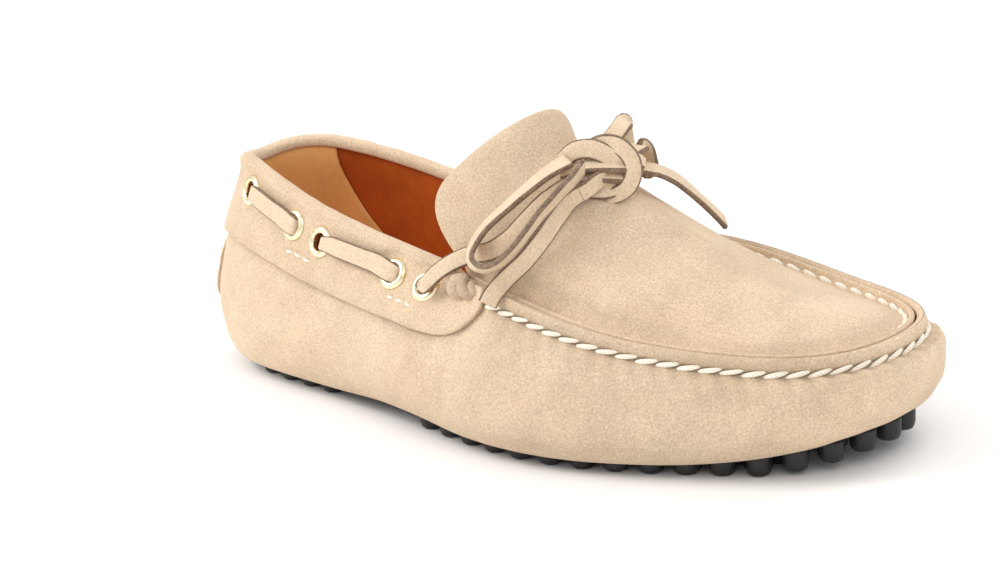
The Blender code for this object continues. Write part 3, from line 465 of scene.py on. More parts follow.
# ---------------------------------------------------------------- materials
def nodes_of(name):
    mat = bpy.data.materials.new(name)
    mat.use_nodes = True
    nt = mat.node_tree
    return mat, nt, nt.nodes["Principled BSDF"]


def noise(nt, coord, scale, detail=3.0, rough=0.55, distort=0.0):
    n = nt.nodes.new("ShaderNodeTexNoise")
    n.inputs["Scale"].default_value = scale
    n.inputs["Detail"].default_value = detail
    n.inputs["Roughness"].default_value = rough
    n.inputs["Distortion"].default_value = distort
    nt.links.new(coord, n.inputs["Vector"])
    return n.outputs["Fac"]


def spread(nt, value, low, high, to_low, to_high):
    r = nt.nodes.new("ShaderNodeMapRange")
    r.inputs["From Min"].default_value = low
    r.inputs["From Max"].default_value = high
    r.inputs["To Min"].default_value = to_low
    r.inputs["To Max"].default_value = to_high
    nt.links.new(value, r.inputs["Value"])
    return r.outputs["Result"]


def times(nt, a, b):
    t = nt.nodes.new("ShaderNodeMath")
    t.operation = "MULTIPLY"
    nt.links.new(a, t.inputs[0])
    nt.links.new(b, t.inputs[1])
    return t.outputs[0]


def tint(nt, a, b, factor):
    """Colour between a and b by a factor socket."""
    mix = nt.nodes.new("ShaderNodeMix")
    mix.data_type = "RGBA"
    nt.links.new(factor, mix.inputs["Factor"])
    for socket, value in ((mix.inputs["A"], a), (mix.inputs["B"], b)):
        if hasattr(value, "is_linked") or hasattr(value, "links"):
            nt.links.new(value, socket)
        else:
            socket.default_value = (*value, 1.0)
    return mix.outputs["Result"]


def dim(nt, colour, factor):
    """Colour times a value socket."""
    v = nt.nodes.new("ShaderNodeVectorMath")
    v.operation = "SCALE"
    nt.links.new(colour, v.inputs[0])
    nt.links.new(factor, v.inputs["Scale"])
    return v.outputs["Vector"]


def bump(nt, bsdf, height, strength, distance, under=None):
    b = nt.nodes.new("ShaderNodeBump")
    b.inputs["Strength"].default_value = strength
    b.inputs["Distance"].default_value = distance
    nt.links.new(height, b.inputs["Height"])
    if under is not None:
        nt.links.new(under, b.inputs["Normal"])
    nt.links.new(b.outputs["Normal"], bsdf.inputs["Normal"])
    return b.outputs["Normal"]


def coords(nt):
    return nt.nodes.new("ShaderNodeTexCoord").outputs["Object"]


def tone_of(nt):
    a = nt.nodes.new("ShaderNodeAttribute")
    a.attribute_name = "tone"
    return a.outputs["Fac"]


def suede(name, light, dark, grain=1.0, mottle=1.0, toned=True):
    """Napped suede: brushed clouds, short-pile speckle, soft sheen."""
    mat, nt, b = nodes_of(name)
    at = coords(nt)
    clouds = noise(nt, at, 34.0, 4.0, 0.6, 0.4)
    patches = noise(nt, at, 150.0, 5.0, 0.65)
    pile = noise(nt, at, 1450.0, 4.0, 0.8)
    body = tint(nt, dark, light, spread(nt, clouds, 0.30, 0.66, 0.5 - 0.38 * mottle, 0.5 + 0.38 * mottle))
    k = times(nt, spread(nt, patches, 0.3, 0.7, 1.0 - 0.05 * mottle, 1.0 + 0.04 * mottle), spread(nt, pile, 0.32, 0.68, 1.0 - 0.30 * grain, 1.0 + 0.22 * grain))
    # the per-vertex tone holds random tone and, on the body, apron and band, painted shade and painted light
    if toned:
        k = times(nt, k, tone_of(nt))
    nt.links.new(dim(nt, body, k), b.inputs["Base Color"])
    b.inputs["Roughness"].default_value = 0.95
    b.inputs["Specular IOR Level"].default_value = 0.12
    b.inputs["Sheen Weight"].default_value = 0.35
    b.inputs["Sheen Roughness"].default_value = 0.45
    b.inputs["Sheen Tint"].default_value = (1.0, 0.88, 0.72, 1.0)
    first = bump(nt, b, patches, 0.25, 0.0006)
    bump(nt, b, pile, 0.55, 0.00022, first)
    return mat


def smooth_leather(name, light, dark, rough):
    mat, nt, b = nodes_of(name)
    at = coords(nt)
    clouds = noise(nt, at, 48.0, 5.0, 0.6, 0.6)
    cell = nt.nodes.new("ShaderNodeTexVoronoi")
    cell.inputs["Scale"].default_value = 900.0
    nt.links.new(at, cell.inputs["Vector"])
    fine = noise(nt, at, 600.0, 4.0, 0.6)
    body = tint(nt, dark, light, spread(nt, clouds, 0.32, 0.68, 0.0, 1.0))
    nt.links.new(dim(nt, body, times(nt, spread(nt, fine, 0.3, 0.7, 0.94, 1.05), tone_of(nt))), b.inputs["Base Color"])
    nt.links.new(spread(nt, fine, 0.3, 0.7, rough - 0.06, rough + 0.08), b.inputs["Roughness"])
    b.inputs["Specular IOR Level"].default_value = 0.35
    first = bump(nt, b, cell.outputs["Distance"], 0.12, 0.00015)
    bump(nt, b, fine, 0.15, 0.0003, first)
    return mat


def raw_edge(name, light, dark, scale=1300.0):
    """Cut edge of suede: brown loose fibres."""
    mat, nt, b = nodes_of(name)
    at = coords(nt)
    fibre = noise(nt, at, scale, 6.0, 0.8, 1.2)
    lumps = noise(nt, at, 420.0, 4.0, 0.7)
    body = tint(nt, dark, light, spread(nt, fibre, 0.36, 0.66, 0.0, 1.0))
    nt.links.new(dim(nt, body, spread(nt, lumps, 0.3, 0.7, 0.72, 1.22)), b.inputs["Base Color"])
    b.inputs["Roughness"].default_value = 1.0
    b.inputs["Specular IOR Level"].default_value = 0.05
    b.inputs["Sheen Weight"].default_value = 0.15
    first = bump(nt, b, lumps, 0.6, 0.0006)
    bump(nt, b, fibre, 0.9, 0.0005, first)
    return mat


def thread(name, light, dark, twist=700.0):
    """Waxed thread, twisted along its own stretch."""
    mat, nt, b = nodes_of(name)
    uv = nt.nodes.new("ShaderNodeUVMap").outputs["UV"]
    wave = nt.nodes.new("ShaderNodeTexWave")
    wave.bands_direction = "DIAGONAL"
    wave.inputs["Scale"].default_value = 1.1
    wave.inputs["Distortion"].default_value = 0.6
    nt.links.new(uv, wave.inputs["Vector"])
    at = coords(nt)
    fuzz = noise(nt, at, 1600.0, 4.0, 0.7)
    body = tint(nt, dark, light, spread(nt, wave.outputs["Fac"], 0.0, 0.7, 0.0, 1.0))
    nt.links.new(dim(nt, body, spread(nt, fuzz, 0.3, 0.7, 0.92, 1.06)), b.inputs["Base Color"])
    b.inputs["Roughness"].default_value = 0.72
    b.inputs["Sheen Weight"].default_value = 0.3
    first = bump(nt, b, wave.outputs["Fac"], 0.2, 0.0002)
    bump(nt, b, fuzz, 0.2, 0.0001, first)
    return mat


def brass(name):
    mat, nt, b = nodes_of(name)
    at = coords(nt)
    smear = noise(nt, at, 300.0, 4.0, 0.6)
    nt.links.new(tint(nt, (0.90, 0.74, 0.42), (0.99, 0.92, 0.70), spread(nt, smear, 0.3, 0.7, 0.0, 1.0)), b.inputs["Base Color"])
    nt.links.new(spread(nt, smear, 0.3, 0.7, 0.20, 0.34), b.inputs["Roughness"])
    b.inputs["Metallic"].default_value = 1.0
    bump(nt, b, noise(nt, at, 1400.0, 3.0), 0.06, 0.0001)
    return mat


def rubber(name):
    mat, nt, b = nodes_of(name)
    at = coords(nt)
    dust = noise(nt, at, 120.0, 6.0, 0.7)
    fine = noise(nt, at, 1500.0, 4.0, 0.7)
    nt.links.new(tint(nt, (0.008, 0.0075, 0.0075), (0.030, 0.027, 0.026), spread(nt, dust, 0.35, 0.75, 0.0, 1.0)), b.inputs["Base Color"])
    nt.links.new(spread(nt, dust, 0.3, 0.7, 0.38, 0.58), b.inputs["Roughness"])
    b.inputs["Specular IOR Level"].default_value = 0.45
    bump(nt, b, fine, 0.18, 0.0002)
    return mat


SUEDE = suede("suede_sand", (0.745, 0.580, 0.410), (0.640, 0.470, 0.318))
BAND = suede("suede_band", (0.735, 0.565, 0.395), (0.650, 0.480, 0.325))
THONG = suede("suede_thong", (0.800, 0.640, 0.460), (0.690, 0.525, 0.360), 0.8, 1.0, False)
THONG_EDGE = raw_edge("thong_edge", (0.46, 0.325, 0.225), (0.125, 0.075, 0.048))
EDGE = raw_edge("suede_edge", (0.42, 0.29, 0.185), (0.18, 0.11, 0.065))
EDGE_PALE = raw_edge("suede_edge_pale", (0.80, 0.64, 0.45), (0.50, 0.36, 0.23))
LINING = smooth_leather("lining_brown", (0.600, 0.130, 0.018), (0.430, 0.080, 0.010), 0.50)
GRIP = smooth_leather("lining_grip", (1.000, 0.640, 0.260), (0.960, 0.520, 0.175), 0.58)
FOOTBED = smooth_leather("footbed_tan", (0.640, 0.240, 0.065), (0.500, 0.160, 0.036), 0.50)
THREAD = thread("thread_cream", (0.93, 0.86, 0.74), (0.80, 0.71, 0.57))
BRASS = brass("brass_pale")
RUBBER = rubber("rubber_black")


# ---------------------------------------------------------------- pieces
def piece(name, verts, faces, mats, index=None, tone=None, uv=None, smooth=True, sharp=None):
    mesh = bpy.data.meshes.new(name)
    v = place(verts)
    faces = [tuple(int(i) for i in f) for f in faces]
    mesh.from_pydata(v.tolist(), [], faces)
    for mat in mats:
        mesh.materials.append(mat)
    if index is not None:
        mesh.polygons.foreach_set("material_index", np.asarray(index, np.int32))
    values = np.ones(len(v), np.float32) if tone is None else np.asarray(tone, np.float32)
    mesh.attributes.new("tone", "FLOAT", "POINT").data.foreach_set("value", values)
    if uv is not None:
        layer = mesh.uv_layers.new(name="UVMap")
        loops = np.zeros(len(mesh.loops), np.int32)
        mesh.loops.foreach_get("vertex_index", loops)
        layer.data.foreach_set("uv", np.asarray(uv, np.float32)[loops].ravel())
    mesh.polygons.foreach_set("use_smooth", np.full(len(faces), smooth, bool))
    mesh.update()
    if sharp:
        mesh.set_sharp_from_angle(angle=math.radians(sharp))
    ob = bpy.data.objects.new(name, mesh)
    bpy.context.scene.collection.objects.link(ob)
    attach(ob, "root")
    return ob


def ease(x):
    x = np.clip(x, 0.0, 1.0)
    return x * x * (3 - 2 * x)


def grid_normals(P, closed=False):
    """Normals of a grid of points, rows by columns."""
    if closed:
        du = np.roll(P, -1, 0) - np.roll(P, 1, 0)
    else:
        du = np.gradient(P, axis=0)
    dv = np.gradient(P, axis=1)
    n = np.cross(du, dv)
    return n / np.maximum(np.linalg.norm(n, axis=-1, keepdims=True), 1e-9)


def edge_share(P, radius, closed=False, sides=(True, True)):
    """1 inside, falling round to 0.1 at the sheet's edges, so a thick sheet gets a rounded edge."""
    r, c = P.shape[:2]
    dc = np.concatenate([np.zeros((r, 1)), np.cumsum(np.linalg.norm(np.diff(P, axis=1), axis=2), 1)], 1)
    d = np.full((r, c), 1e9)
    if sides[0]:
        d = np.minimum(d, dc)
    if sides[1]:
        d = np.minimum(d, dc[:, -1:] - dc)
    if not closed:
        dr = np.concatenate([np.zeros((1, c)), np.cumsum(np.linalg.norm(np.diff(P, axis=0), axis=2), 0)], 0)
        d = np.minimum(d, np.minimum(dr, dr[-1:] - dr))
    q = np.clip(d / radius, 0.0, 1.0)
    return np.maximum(np.sqrt(np.clip(1 - (1 - q) ** 2, 0, 1)), 0.12)


def shell(P, N, up, down, closed=False, radius=None, sides=(True, True), cut=None):
    """Solid sheet round a grid; cut is a mask of grid faces left out, for holes. Returns points, faces, material index."""
    r, c = P.shape[:2]
    f = edge_share(P, radius, closed, sides)[..., None] if radius else 1.0
    top, under = P + N * up * f, P - N * down * f
    verts = np.concatenate([top.reshape(-1, 3), under.reshape(-1, 3)])
    count = r * c
    grid = np.array(grid_faces(r, c, closed_rows=closed))
    keep = np.ones(len(grid), bool) if cut is None else ~cut
    grid = grid[keep]
    a, b = grid[:, [0, 1]], grid[:, [1, 2]]
    faces = [tuple(q) for q in grid] + [tuple(q[::-1] + count) for q in grid]
    index = [0] * len(grid) + [1] * len(grid)
    directed = np.concatenate([grid[:, [0, 1]], grid[:, [1, 2]], grid[:, [2, 3]], grid[:, [3, 0]]])
    have = set(map(tuple, directed.tolist()))
    for p, q in directed.tolist():
        if (q, p) not in have:
            faces.append((q, p, p + count, q + count))
            index.append(2)
    return verts, faces, index


def spaced(n, ends=(0.0, 0.004, 0.012, 0.025, 0.045)):
    """Parameters 0 to 1 with extra ones near both ends, for rounded edges."""
    inner = np.linspace(ends[-1], 1 - ends[-1], n)[1:-1]
    return np.concatenate([ends, inner, 1 - np.array(ends[::-1])])


def lumps(p, size, seed):
    """Smooth wandering value from -1 to 1 over points p, its waves about size across."""
    k = 2 * math.pi / size
    a = np.array([[0.9, 0.3, 0.4], [-0.4, 0.9, 0.5], [0.3, -0.6, 0.9], [0.7, 0.7, -0.5], [-0.8, 0.2, 0.7]])
    v = 0.0
    for i, d in enumerate(a):
        v = v + np.sin((p @ d) * k * (0.75 + 0.17 * i) + seed * (1.3 + i) + 1.1 * np.sin((p @ a[(i + 2) % 5]) * k * 0.4 + seed))
    return v / 2.6


# ---------------------------------------------------------------- the seam's own measure: distance along the raised edge
SEAM_REAR = 150.0  # station where the seam starts on each side
seam_u = np.linspace(u_at(SEAM_REAR, -1), u_at(SEAM_REAR, 1), 1600)
seam_rim = outside(seam_u, np.ones_like(seam_u))
seam_d = np.concatenate([[0.0], np.cumsum(np.linalg.norm(np.diff(seam_rim, axis=0), axis=1))])
STITCH = seam_d[-1] / round(seam_d[-1] / 6.7)
CREASE = 4.9  # the seam's crease below its top edge


def seam_at(u):
    """Distance along the seam and how much of the raised seam there is at u: 0 behind it, 1 on it."""
    d = np.interp(u, seam_u, seam_d)
    w = ease((u - seam_u[0]) / 0.012) * ease((seam_u[-1] - u) / 0.012)
    return d, w


# soft troughs (-) and ridges (+) on the body: from, to, half width, height
CREASES = [
    ((139.0, -52.0, 37.0), (131.0, -58.5, 20.0), 4.0, 0.55),
    ((146.0, -53.5, 38.0), (141.0, -61.0, 18.0), 4.5, -0.55),
    ((172.0, -53.0, 44.0), (181.0, -60.0, 15.0), 8.0, -0.65),
    ((188.0, -51.5, 41.0), (193.0, -58.0, 14.0), 8.0, 0.35),
    ((206.0, -49.0, 38.0), (203.0, -54.0, 15.0), 8.0, -0.55),
    ((226.0, -41.0, 36.0), (224.0, -46.0, 16.0), 7.0, -0.4),
    ((247.0, -32.0, 34.0), (251.0, -31.0, 16.0), 6.0, -0.5),
    ((266.0, -14.0, 34.0), (271.0, -9.0, 18.0), 6.5, -0.55),
    ((273.0, 14.0, 34.0), (276.0, 12.0, 20.0), 6.0, -0.4),
    ((60.0, -38.0, 38.0), (112.0, -51.0, 22.0), 7.0, -0.5),
    ((24.0, -29.0, 40.0), (62.0, -40.0, 40.0), 4.5, 0.5),
    ((16.0, -24.0, 32.0), (52.0, -37.0, 26.0), 6.0, -0.4),
    ((170.0, 41.0, 44.0), (178.0, 45.0, 15.0), 8.0, -0.6),
    ((196.0, 46.0, 40.0), (199.0, 50.0, 15.0), 8.0, -0.45),
    ((222.0, 47.0, 38.0), (220.0, 51.0, 15.0), 7.0, -0.5),
    ((252.0, 40.0, 34.0), (256.0, 42.0, 18.0), 6.0, -0.5),
    ((60.0, 35.0, 38.0), (118.0, 36.0, 24.0), 7.0, -0.5),
    ((24.0, 28.0, 40.0), (70.0, 35.0, 38.0), 4.5, 0.45),
]


def near_line(p, a, b):
    a, b = np.array(a), np.array(b)
    t = np.clip(((p - a) @ (b - a)) / np.dot(b - a, b - a), 0.0, 1.0)
    return np.linalg.norm(p - (a + t[..., None] * (b - a)), axis=-1), t


def crease_height(p, strokes):
    h = np.zeros(p.shape[:-1])
    for a, b, width, height in strokes:
        d, t = near_line(p, a, b)
        h += height * np.exp(-((d / width) ** 2)) * (0.55 + 0.45 * np.sin(math.pi * np.clip(t, 0.05, 0.95)))
    return h


def body_relief(u, P):
    """Height of the suede body's own relief: raised seam, its gathers, and soft creases."""
    rim_z = np.interp(np.mod(u, 1.0), rim_table_u, rim_table_z)
    t = rim_z - P[..., 2]
    d, w = seam_at(u)
    gather = 0.5 - 0.5 * np.cos(2 * math.pi * d / STITCH)
    h = w * 0.55 * np.sin(math.pi * np.clip(t / CREASE, 0, 1)) ** 0.8
    h += w * -1.0 * np.exp(-(((t - CREASE) / 0.95) ** 2))
    h += w * 0.45 * np.exp(-(((t - 8.6) / 3.2) ** 2))
    h += w * (0.95 * (gather - 0.5)) * np.exp(-np.clip(t - CREASE - 0.5, 0, None) / 3.4) * (t > CREASE + 0.2) * ease((t - CREASE) / 1.6)
    h += w * 0.10 * (gather - 0.5) * (t < CREASE)
    fade = ease((t - 3.0) / 8.0) * ease((P[..., 2] - 5.0) / 8.0)
    h += fade * (1.35 * crease_height(P, CREASES) + 0.26 * lumps(P, 38.0, 1.7) + 0.11 * lumps(P, 15.0, 4.2))
    return h, t, w, gather


rim_table_u = np.linspace(0.0, 1.0, 1201)
rim_table_z = outside(rim_table_u, np.ones_like(rim_table_u))[:, 2]

# ---------------------------------------------------------------- eyelet frames
eyelets = {}
for side, tag in ((-1, "lat"), (1, "med")):
    for number, (x, depth) in enumerate(EYELETS, 1):
        u = u_at(x * GX, side)
        s = np.linspace(0.5, 1.0, 400)
        p = outside(np.full(400, u), s)
        z = p[-1, 2] + BAND_GAP + BAND_T - depth * GZ
        at_s = np.array(float(np.interp(z, p[:, 2], s)))
        n = normal(np.array(u), at_s)
        centre = offset(np.array(u), at_s, BAND_GAP + BAND_T)
        across = np.cross([0, 0, 1.0], n)
        across /= np.linalg.norm(across)
        eyelets[(side, number)] = dict(c=centre, n=n, x=across, y=np.cross(n, across), s=float(at_s), u=u)


def near_eyelets(p, reach):
    """Mask of points within reach of any eyelet's axis."""
    hit = np.zeros(p.shape[:-1], bool)
    for e in eyelets.values():
        v = p - e["c"]
        h = v @ e["n"]
        r = np.linalg.norm(v - h[..., None] * e["n"], axis=-1)
        hit |= (r < reach) & (np.abs(h) < 9.0)
    return hit


def face_centres(P, closed):
    Q = np.concatenate([P, P[:1]], 0) if closed else P
    return 0.25 * (Q[:-1, :-1] + Q[1:, :-1] + Q[1:, 1:] + Q[:-1, 1:])


# ---------------------------------------------------------------- suede body
U_BODY = 660
body_u = np.linspace(0.0, 1.0, U_BODY, endpoint=False)
base_s = np.concatenate([np.linspace(0.0, 0.17, 8), np.linspace(0.20, 0.76, 30)[0:], np.linspace(0.775, 1.0, 34)])
uu, ss = np.meshgrid(body_u, base_s, indexing="ij")
P = outside(uu, ss)
N = normal(uu, ss)
relief, t, w, gather = body_relief(uu, P)
level = N
P = P + N * relief[..., None]
N = np.where((t < 5.5)[..., None], level, grid_normals(P, closed=True))
# painted shade on the body's tone: darker in the seam's crease, on the raised bead above it, and in the hollows between
# the gathers below it
tone = 1.0 - 0.24 * w * np.exp(-(((t - CREASE) / 1.7) ** 2)) - 0.10 * w * (t < CREASE) * np.sin(math.pi * np.clip(t / CREASE, 0, 1))
tone -= 0.11 * w * (1 - gather) * np.exp(-np.clip(t - CREASE, 0, None) / 5.0) * (t > CREASE)
# painted light brightening the heel end and the toe end; painted shade along the forepart's side and low down near the
# sole
tone += 0.10 * ease((90.0 - P[..., 0]) / 90.0) + 0.09 * ease((P[..., 0] - 246.0) / 26.0) - 0.05 * ease((P[..., 0] - 140.0) / 20.0) * ease((248.0 - P[..., 0]) / 20.0) - 0.06 * np.exp(-(((P[..., 2] - 7.0) / 5.0) ** 2))
tone += 0.035 * lumps(P, 26.0, 3.1)
# painted shadow on the body just below the collar band's lower edge
band_low = np.minimum(np.interp(P[..., 0], *zip(*BAND_DROP)), np.where(P[..., 0] > BAND_END_X - 30.0, np.interp(BAND_END_X - P[..., 0], *zip(*BAND_FRONT)), 99.0))
tone -= 0.20 * np.exp(-(((t - band_low - 0.7) / 1.3) ** 2)) * (P[..., 0] < BAND_END_X + 1.0)
centres = face_centres(P, True)
verts, faces, index = shell(P, N, 0.0, (np.clip(1.15 + relief, 0.35, 1.9) * (t > 5.5) + np.clip(1.15 + 1.25 * ease((P[..., 0] - 134.0) / 5.0) + relief, 0.7, 3.0) * (t <= 5.5))[..., None], closed=True, radius=0.6, sides=(True, True), cut=near_eyelets(centres, 3.3).reshape(-1))
body = piece("suede_body", verts, faces, [SUEDE, SUEDE, EDGE], index, np.concatenate([tone.ravel(), tone.ravel()]))
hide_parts("upper")

# ---------------------------------------------------------------- lining
lin_u = np.linspace(0.0, 1.0, 300, endpoint=False)
lin_s = np.linspace(0.06, 0.985, 34)
uu, ss = np.meshgrid(lin_u, lin_s, indexing="ij")
s_table = np.linspace(0.3, 1.0, 140)
for i, u in enumerate(lin_u):
    column = outside(np.full(140, u), s_table)
    drop = 0.5 + 5.8 * float(ease((column[-1, 0] - 131.0) / 6.0))
    ss[i] *= float(np.interp(column[-1, 2] - drop, column[:, 2], s_table)) / lin_s[-1]
P = outside(uu, ss) - normal(uu, ss) * 1.25
N = -grid_normals(P, closed=True)
h = 0.12 * lumps(P, 30.0, 0.7) * ease((P[..., 2] - 12.0) / 10.0)
P = P + N * h[..., None]
N = grid_normals(P, closed=True)
tone = 1.0 + 0.05 * lumps(P, 40.0, 2.2)
verts, faces, index = shell(P, N, 0.0, 0.55, closed=True)
lining = piece("lining", verts, faces, [LINING], [0] * len(faces), np.concatenate([tone.ravel(), tone.ravel()]))

GRIP_EDGE = [(10.0, 60.0), (20.0, 53.0), (30.0, 45.5), (41.0, 37.9), (45.0, 34.6), (52.0, 31.6), (60.0, 29.2), (66.0, 28.2), (76.0, 28.6)]  # height, station
rows = []
low_z, n_grip = 11.0, 26
for side in (1, -1):
    part_rows = []
    for k in range(46):
        f = k / 45.0
        row = []
        for j in range(n_grip):
            g = j / (n_grip - 1.0)
            s_at = 0.14 + 0.84 * g
            # station of the panel's front edge at this height
            uu_probe = np.linspace(0, 0.2, 160) if side < 0 else 1.0 - np.linspace(0, 0.2, 160)
            pp = outside(uu_probe, np.full(160, s_at))
            edge = np.interp(pp[:, 2], [a for a, _ in GRIP_EDGE], [b for _, b in GRIP_EDGE])
            ahead = pp[:, 0] - edge
            end = float(np.interp(0.0, ahead, np.arange(160))) / 159.0 * 0.2
            u_here = end * (1 - f)
            row.append((u_here if side < 0 else 1.0 - u_here, s_at))
        part_rows.append(row)
    if side < 0:
        part_rows = part_rows[::-1][1:]
    rows += part_rows
rows = np.array(rows)
P = outside(rows[..., 0], rows[..., 1])
N = -normal(rows[..., 0], rows[..., 1])
P = P + N * 2.35
N2 = grid_normals(P)
if (N2 * N).sum() < 0:
    N2 = -N2
flip = (grid_normals(P) * N).sum() < 0
tone = 1.0 + 0.05 * lumps(P, 30.0, 5.2)
verts, faces, index = shell(P, N2, 0.25, 0.35, radius=0.5)
if flip:
    faces = [f[::-1] for f in faces]
grip = piece("heel_grip", verts, faces, [GRIP], [0] * len(faces), np.concatenate([tone.ravel(), tone.ravel()]))

# ---------------------------------------------------------------- collar: band outside, folded over the rim
INNER_DROP = 1.9


def surface_at(u, z):
    s = np.linspace(0.3, 1.0, 160)
    p = outside(np.full(160, u), s)
    return float(np.interp(z, p[:, 2], s))


def collar_path(u, x):
    """Middle of the folded suede at u: up outside, over the rim, down inside."""
    away = 0.35 + BAND_T / 2
    front = BAND_END_X - x
    depth = min(float(along(BAND_FRONT, min(front, 30.0))) if front < 30 else 99.0, float(along(BAND_DROP, x)))
    rim = outside(u, 1.0)
    n = normal(np.array(u), np.array(0.995))
    n = np.array([n[0], n[1], 0.0]) / np.hypot(n[0], n[1])
    top = float(rim[2])
    pts = []
    for z in np.linspace(top - depth, top - 0.6, 26):
        pts.append(offset(np.array(u), np.array(surface_at(u, z)), away))
    mid = rim - n * WALL / 2
    reach = WALL / 2 + away
    fold = ease((136.0 - x) / 6.0)  # the turn-over ends where the tongue comes out
    a_end = 0.35 + (math.pi - 0.35) * fold
    for a in np.linspace(0.12, a_end, 14):
        q = mid + n * reach * math.cos(a)
        q[2] = top - 0.2 + (away + 0.15) * math.sin(a) ** 0.9
        pts.append(q)
    if fold > 0.02:
        for z in np.linspace(top - 0.6, top - 0.6 - (INNER_DROP - 0.6) * fold, 4):
            pts.append(offset(np.array(u), np.array(surface_at(u, z)), -(WALL + away)))
    return np.array(pts)


front_f = [0.0, 0.12, 0.35, 0.8, 1.5, 2.5, 4.0, 6.0, 8.5, 11.5, 15.0]
u_end_m, u_end_l = u_at(BAND_END_X - 16.0, 1) - 1.0, u_at(BAND_END_X - 16.0, -1)
us = [u_at(BAND_END_X - f, 1) - 1.0 for f in front_f]
us += list(np.linspace(u_end_m, u_end_l, 380))
us += [u_at(BAND_END_X - f, -1) for f in front_f[::-1]]
us = np.array(us)
columns = spaced(44)
P = []
for u in us:
    x = float(ribs(np.array(u % 1.0))[5])
    path = collar_path(u % 1.0, x)
    d = np.concatenate([[0.0], np.cumsum(np.linalg.norm(np.diff(path, axis=0), axis=1))])
    P.append(np.stack([np.interp(columns * d[-1], d, path[:, i]) for i in range(3)], 1))
P = np.array(P)
for _ in range(2):  # smooth along the shoe, which takes out the fold's sharp start
    P[12:-12] = 0.25 * P[11:-13] + 0.5 * P[12:-12] + 0.25 * P[13:-11]
N = grid_normals(P)
mid_row = len(us) // 2
if N[mid_row, 10] @ np.array([-1.0, 0.0, 0.0]) < 0:
    P, us = P[::-1], us[::-1]
    N = grid_normals(P)
# soft relief: pressed flat round the eyelets, wavy lower edge
press = np.zeros(P.shape[:2])
for e in eyelets.values():
    v = P - e["c"]
    hgt = v @ e["n"]
    r = np.linalg.norm(v - hgt[..., None] * e["n"], axis=-1)
    outer_leg = (np.abs(hgt) < 6.0) & ((N @ e["n"]) > 0.3)
    e["lift"] = float(hgt[(r < 5.0) & outer_leg].max()) + BAND_T / 2 if ((r < 5.0) & outer_leg).any() else 0.5
    target = e["lift"] - BAND_T / 2 - 0.25
    k = np.where(outer_leg, 1 - ease((r - 5.2) / 4.5), 0.0)
    press += k * (target - hgt)
P = P + N * press[..., None]
relief = 0.07 * lumps(P, 17.0, 2.4) + 0.04 * lumps(P, 8.0, 0.9)
P = P + N * relief[..., None]
N = grid_normals(P)
d_low = np.cumsum(np.concatenate([np.zeros((len(P), 1)), np.linalg.norm(np.diff(P, axis=1), axis=2)], 1), 1)
# random tone, with painted shade darkening the band within about 2 mm of its lower edge
tone = 1.0 + 0.03 * lumps(P, 20.0, 5.5) - 0.05 * np.exp(-((d_low / 2.0) ** 2))
verts, faces, index = shell(P, N, BAND_T / 2, BAND_T / 2, radius=0.8, cut=near_eyelets(face_centres(P, False), 3.2).reshape(-1))
collar = piece("collar_suede", verts, faces, [BAND, BAND, EDGE], index, np.concatenate([tone.ravel(), tone.ravel()]))
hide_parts("collar_band", "collar_roll")
P_BAND, N_BAND = P, N

# ---------------------------------------------------------------- apron and tongue
THROAT_X, TOE_X, SPINE_START, SPINE_END = 137.0, 243.0, 156.0, 250.0
SIDE_COLS, TOE_COLS = 12, 9
ACROSS = np.array([0.0, 0.16, 0.34, 0.54, 0.76, 1.0])


def apron_net():
    """The apron's and tongue's own net of rows, as in their solid."""
    u_l0, u_l1 = u_at(THROAT_X * GX, -1), u_at(TOE_X * GX, -1)
    u_m1, u_m0 = u_at(TOE_X * GX, 1), u_at(THROAT_X * GX, 1)
    us = np.concatenate([np.linspace(u_l0, u_l1, SIDE_COLS), np.linspace(u_l1, u_m1, TOE_COLS + 2)[1:-1], np.linspace(u_m1, u_m0, SIDE_COLS)])
    st = np.concatenate([np.linspace(0, 1, SIDE_COLS), np.ones(TOE_COLS), np.linspace(1, 0, SIDE_COLS)])
    verts, faces, spine_ids, cols_ids, crest = [], [], [], [], {}
    for v in st:
        key = round(float(v), 6)
        if key not in crest:
            crest[key] = len(verts)
            verts.append(spine_point((SPINE_START + (SPINE_END - SPINE_START) * v) * GX))
        spine_ids.append(crest[key])
    for k, u in enumerate(us):
        ids = []
        for p in apron_column(u, verts[spine_ids[k]]):
            ids.append(len(verts))
            verts.append(p)
        cols_ids.append(ids)
    for k in range(len(us) - 1):
        a, b = cols_ids[k], cols_ids[k + 1]
        for j in range(len(a) - 1):
            faces.append((a[j], b[j], b[j + 1], a[j + 1]))
        if spine_ids[k] == spine_ids[k + 1]:
            faces.append((a[-1], b[-1], spine_ids[k]))
        else:
            faces.append((a[-1], b[-1], spine_ids[k + 1], spine_ids[k]))
    previous = cols_ids[0] + [spine_ids[0]] + cols_ids[-1][::-1]
    tongue = table(TONGUE, TONGUE_COLUMNS)
    for k in range(len(TONGUE)):
        c = np.array([tongue["cx"][k] * GX, float(along(SPINE_Y, tongue["cx"][k])) * GY, tongue["cz"][k] * GI])
        row = []
        for side in (-1, 1):
            tag = "lat" if side < 0 else "med"
            e = np.array([tongue[tag + "_x"][k] * GX, tongue[tag + "_y"][k] * GY, tongue[tag + "_z"][k] * GI])
            ids = []
            for s in np.concatenate([[0.0, 0.035, 0.08], 0.08 + 0.92 * ACROSS[1:-1]]):
                a = s**1.5
                rise = (1 - (1 - a) ** 2) ** (1 / tongue["full"][k])
                fore = 1 - (1 - a) ** 1.6
                ids.append(len(verts))
                verts.append(np.array([e[0] + (c[0] - e[0]) * fore, e[1] + (c[1] - e[1]) * a, e[2] + (c[2] - e[2]) * rise]))
            row.append(ids)
        verts.append(c)
        current = row[0] + [len(verts) - 1] + row[1][::-1]
        for j in range(len(current) - 1):
            faces.append((current[j], previous[j], previous[j + 1], current[j + 1]))
        previous = current
    verts = np.array(verts)
    if vertex_normals(verts, faces)[spine_ids[0]][2] < 0:
        faces = [f[::-1] for f in faces]
    return verts, faces


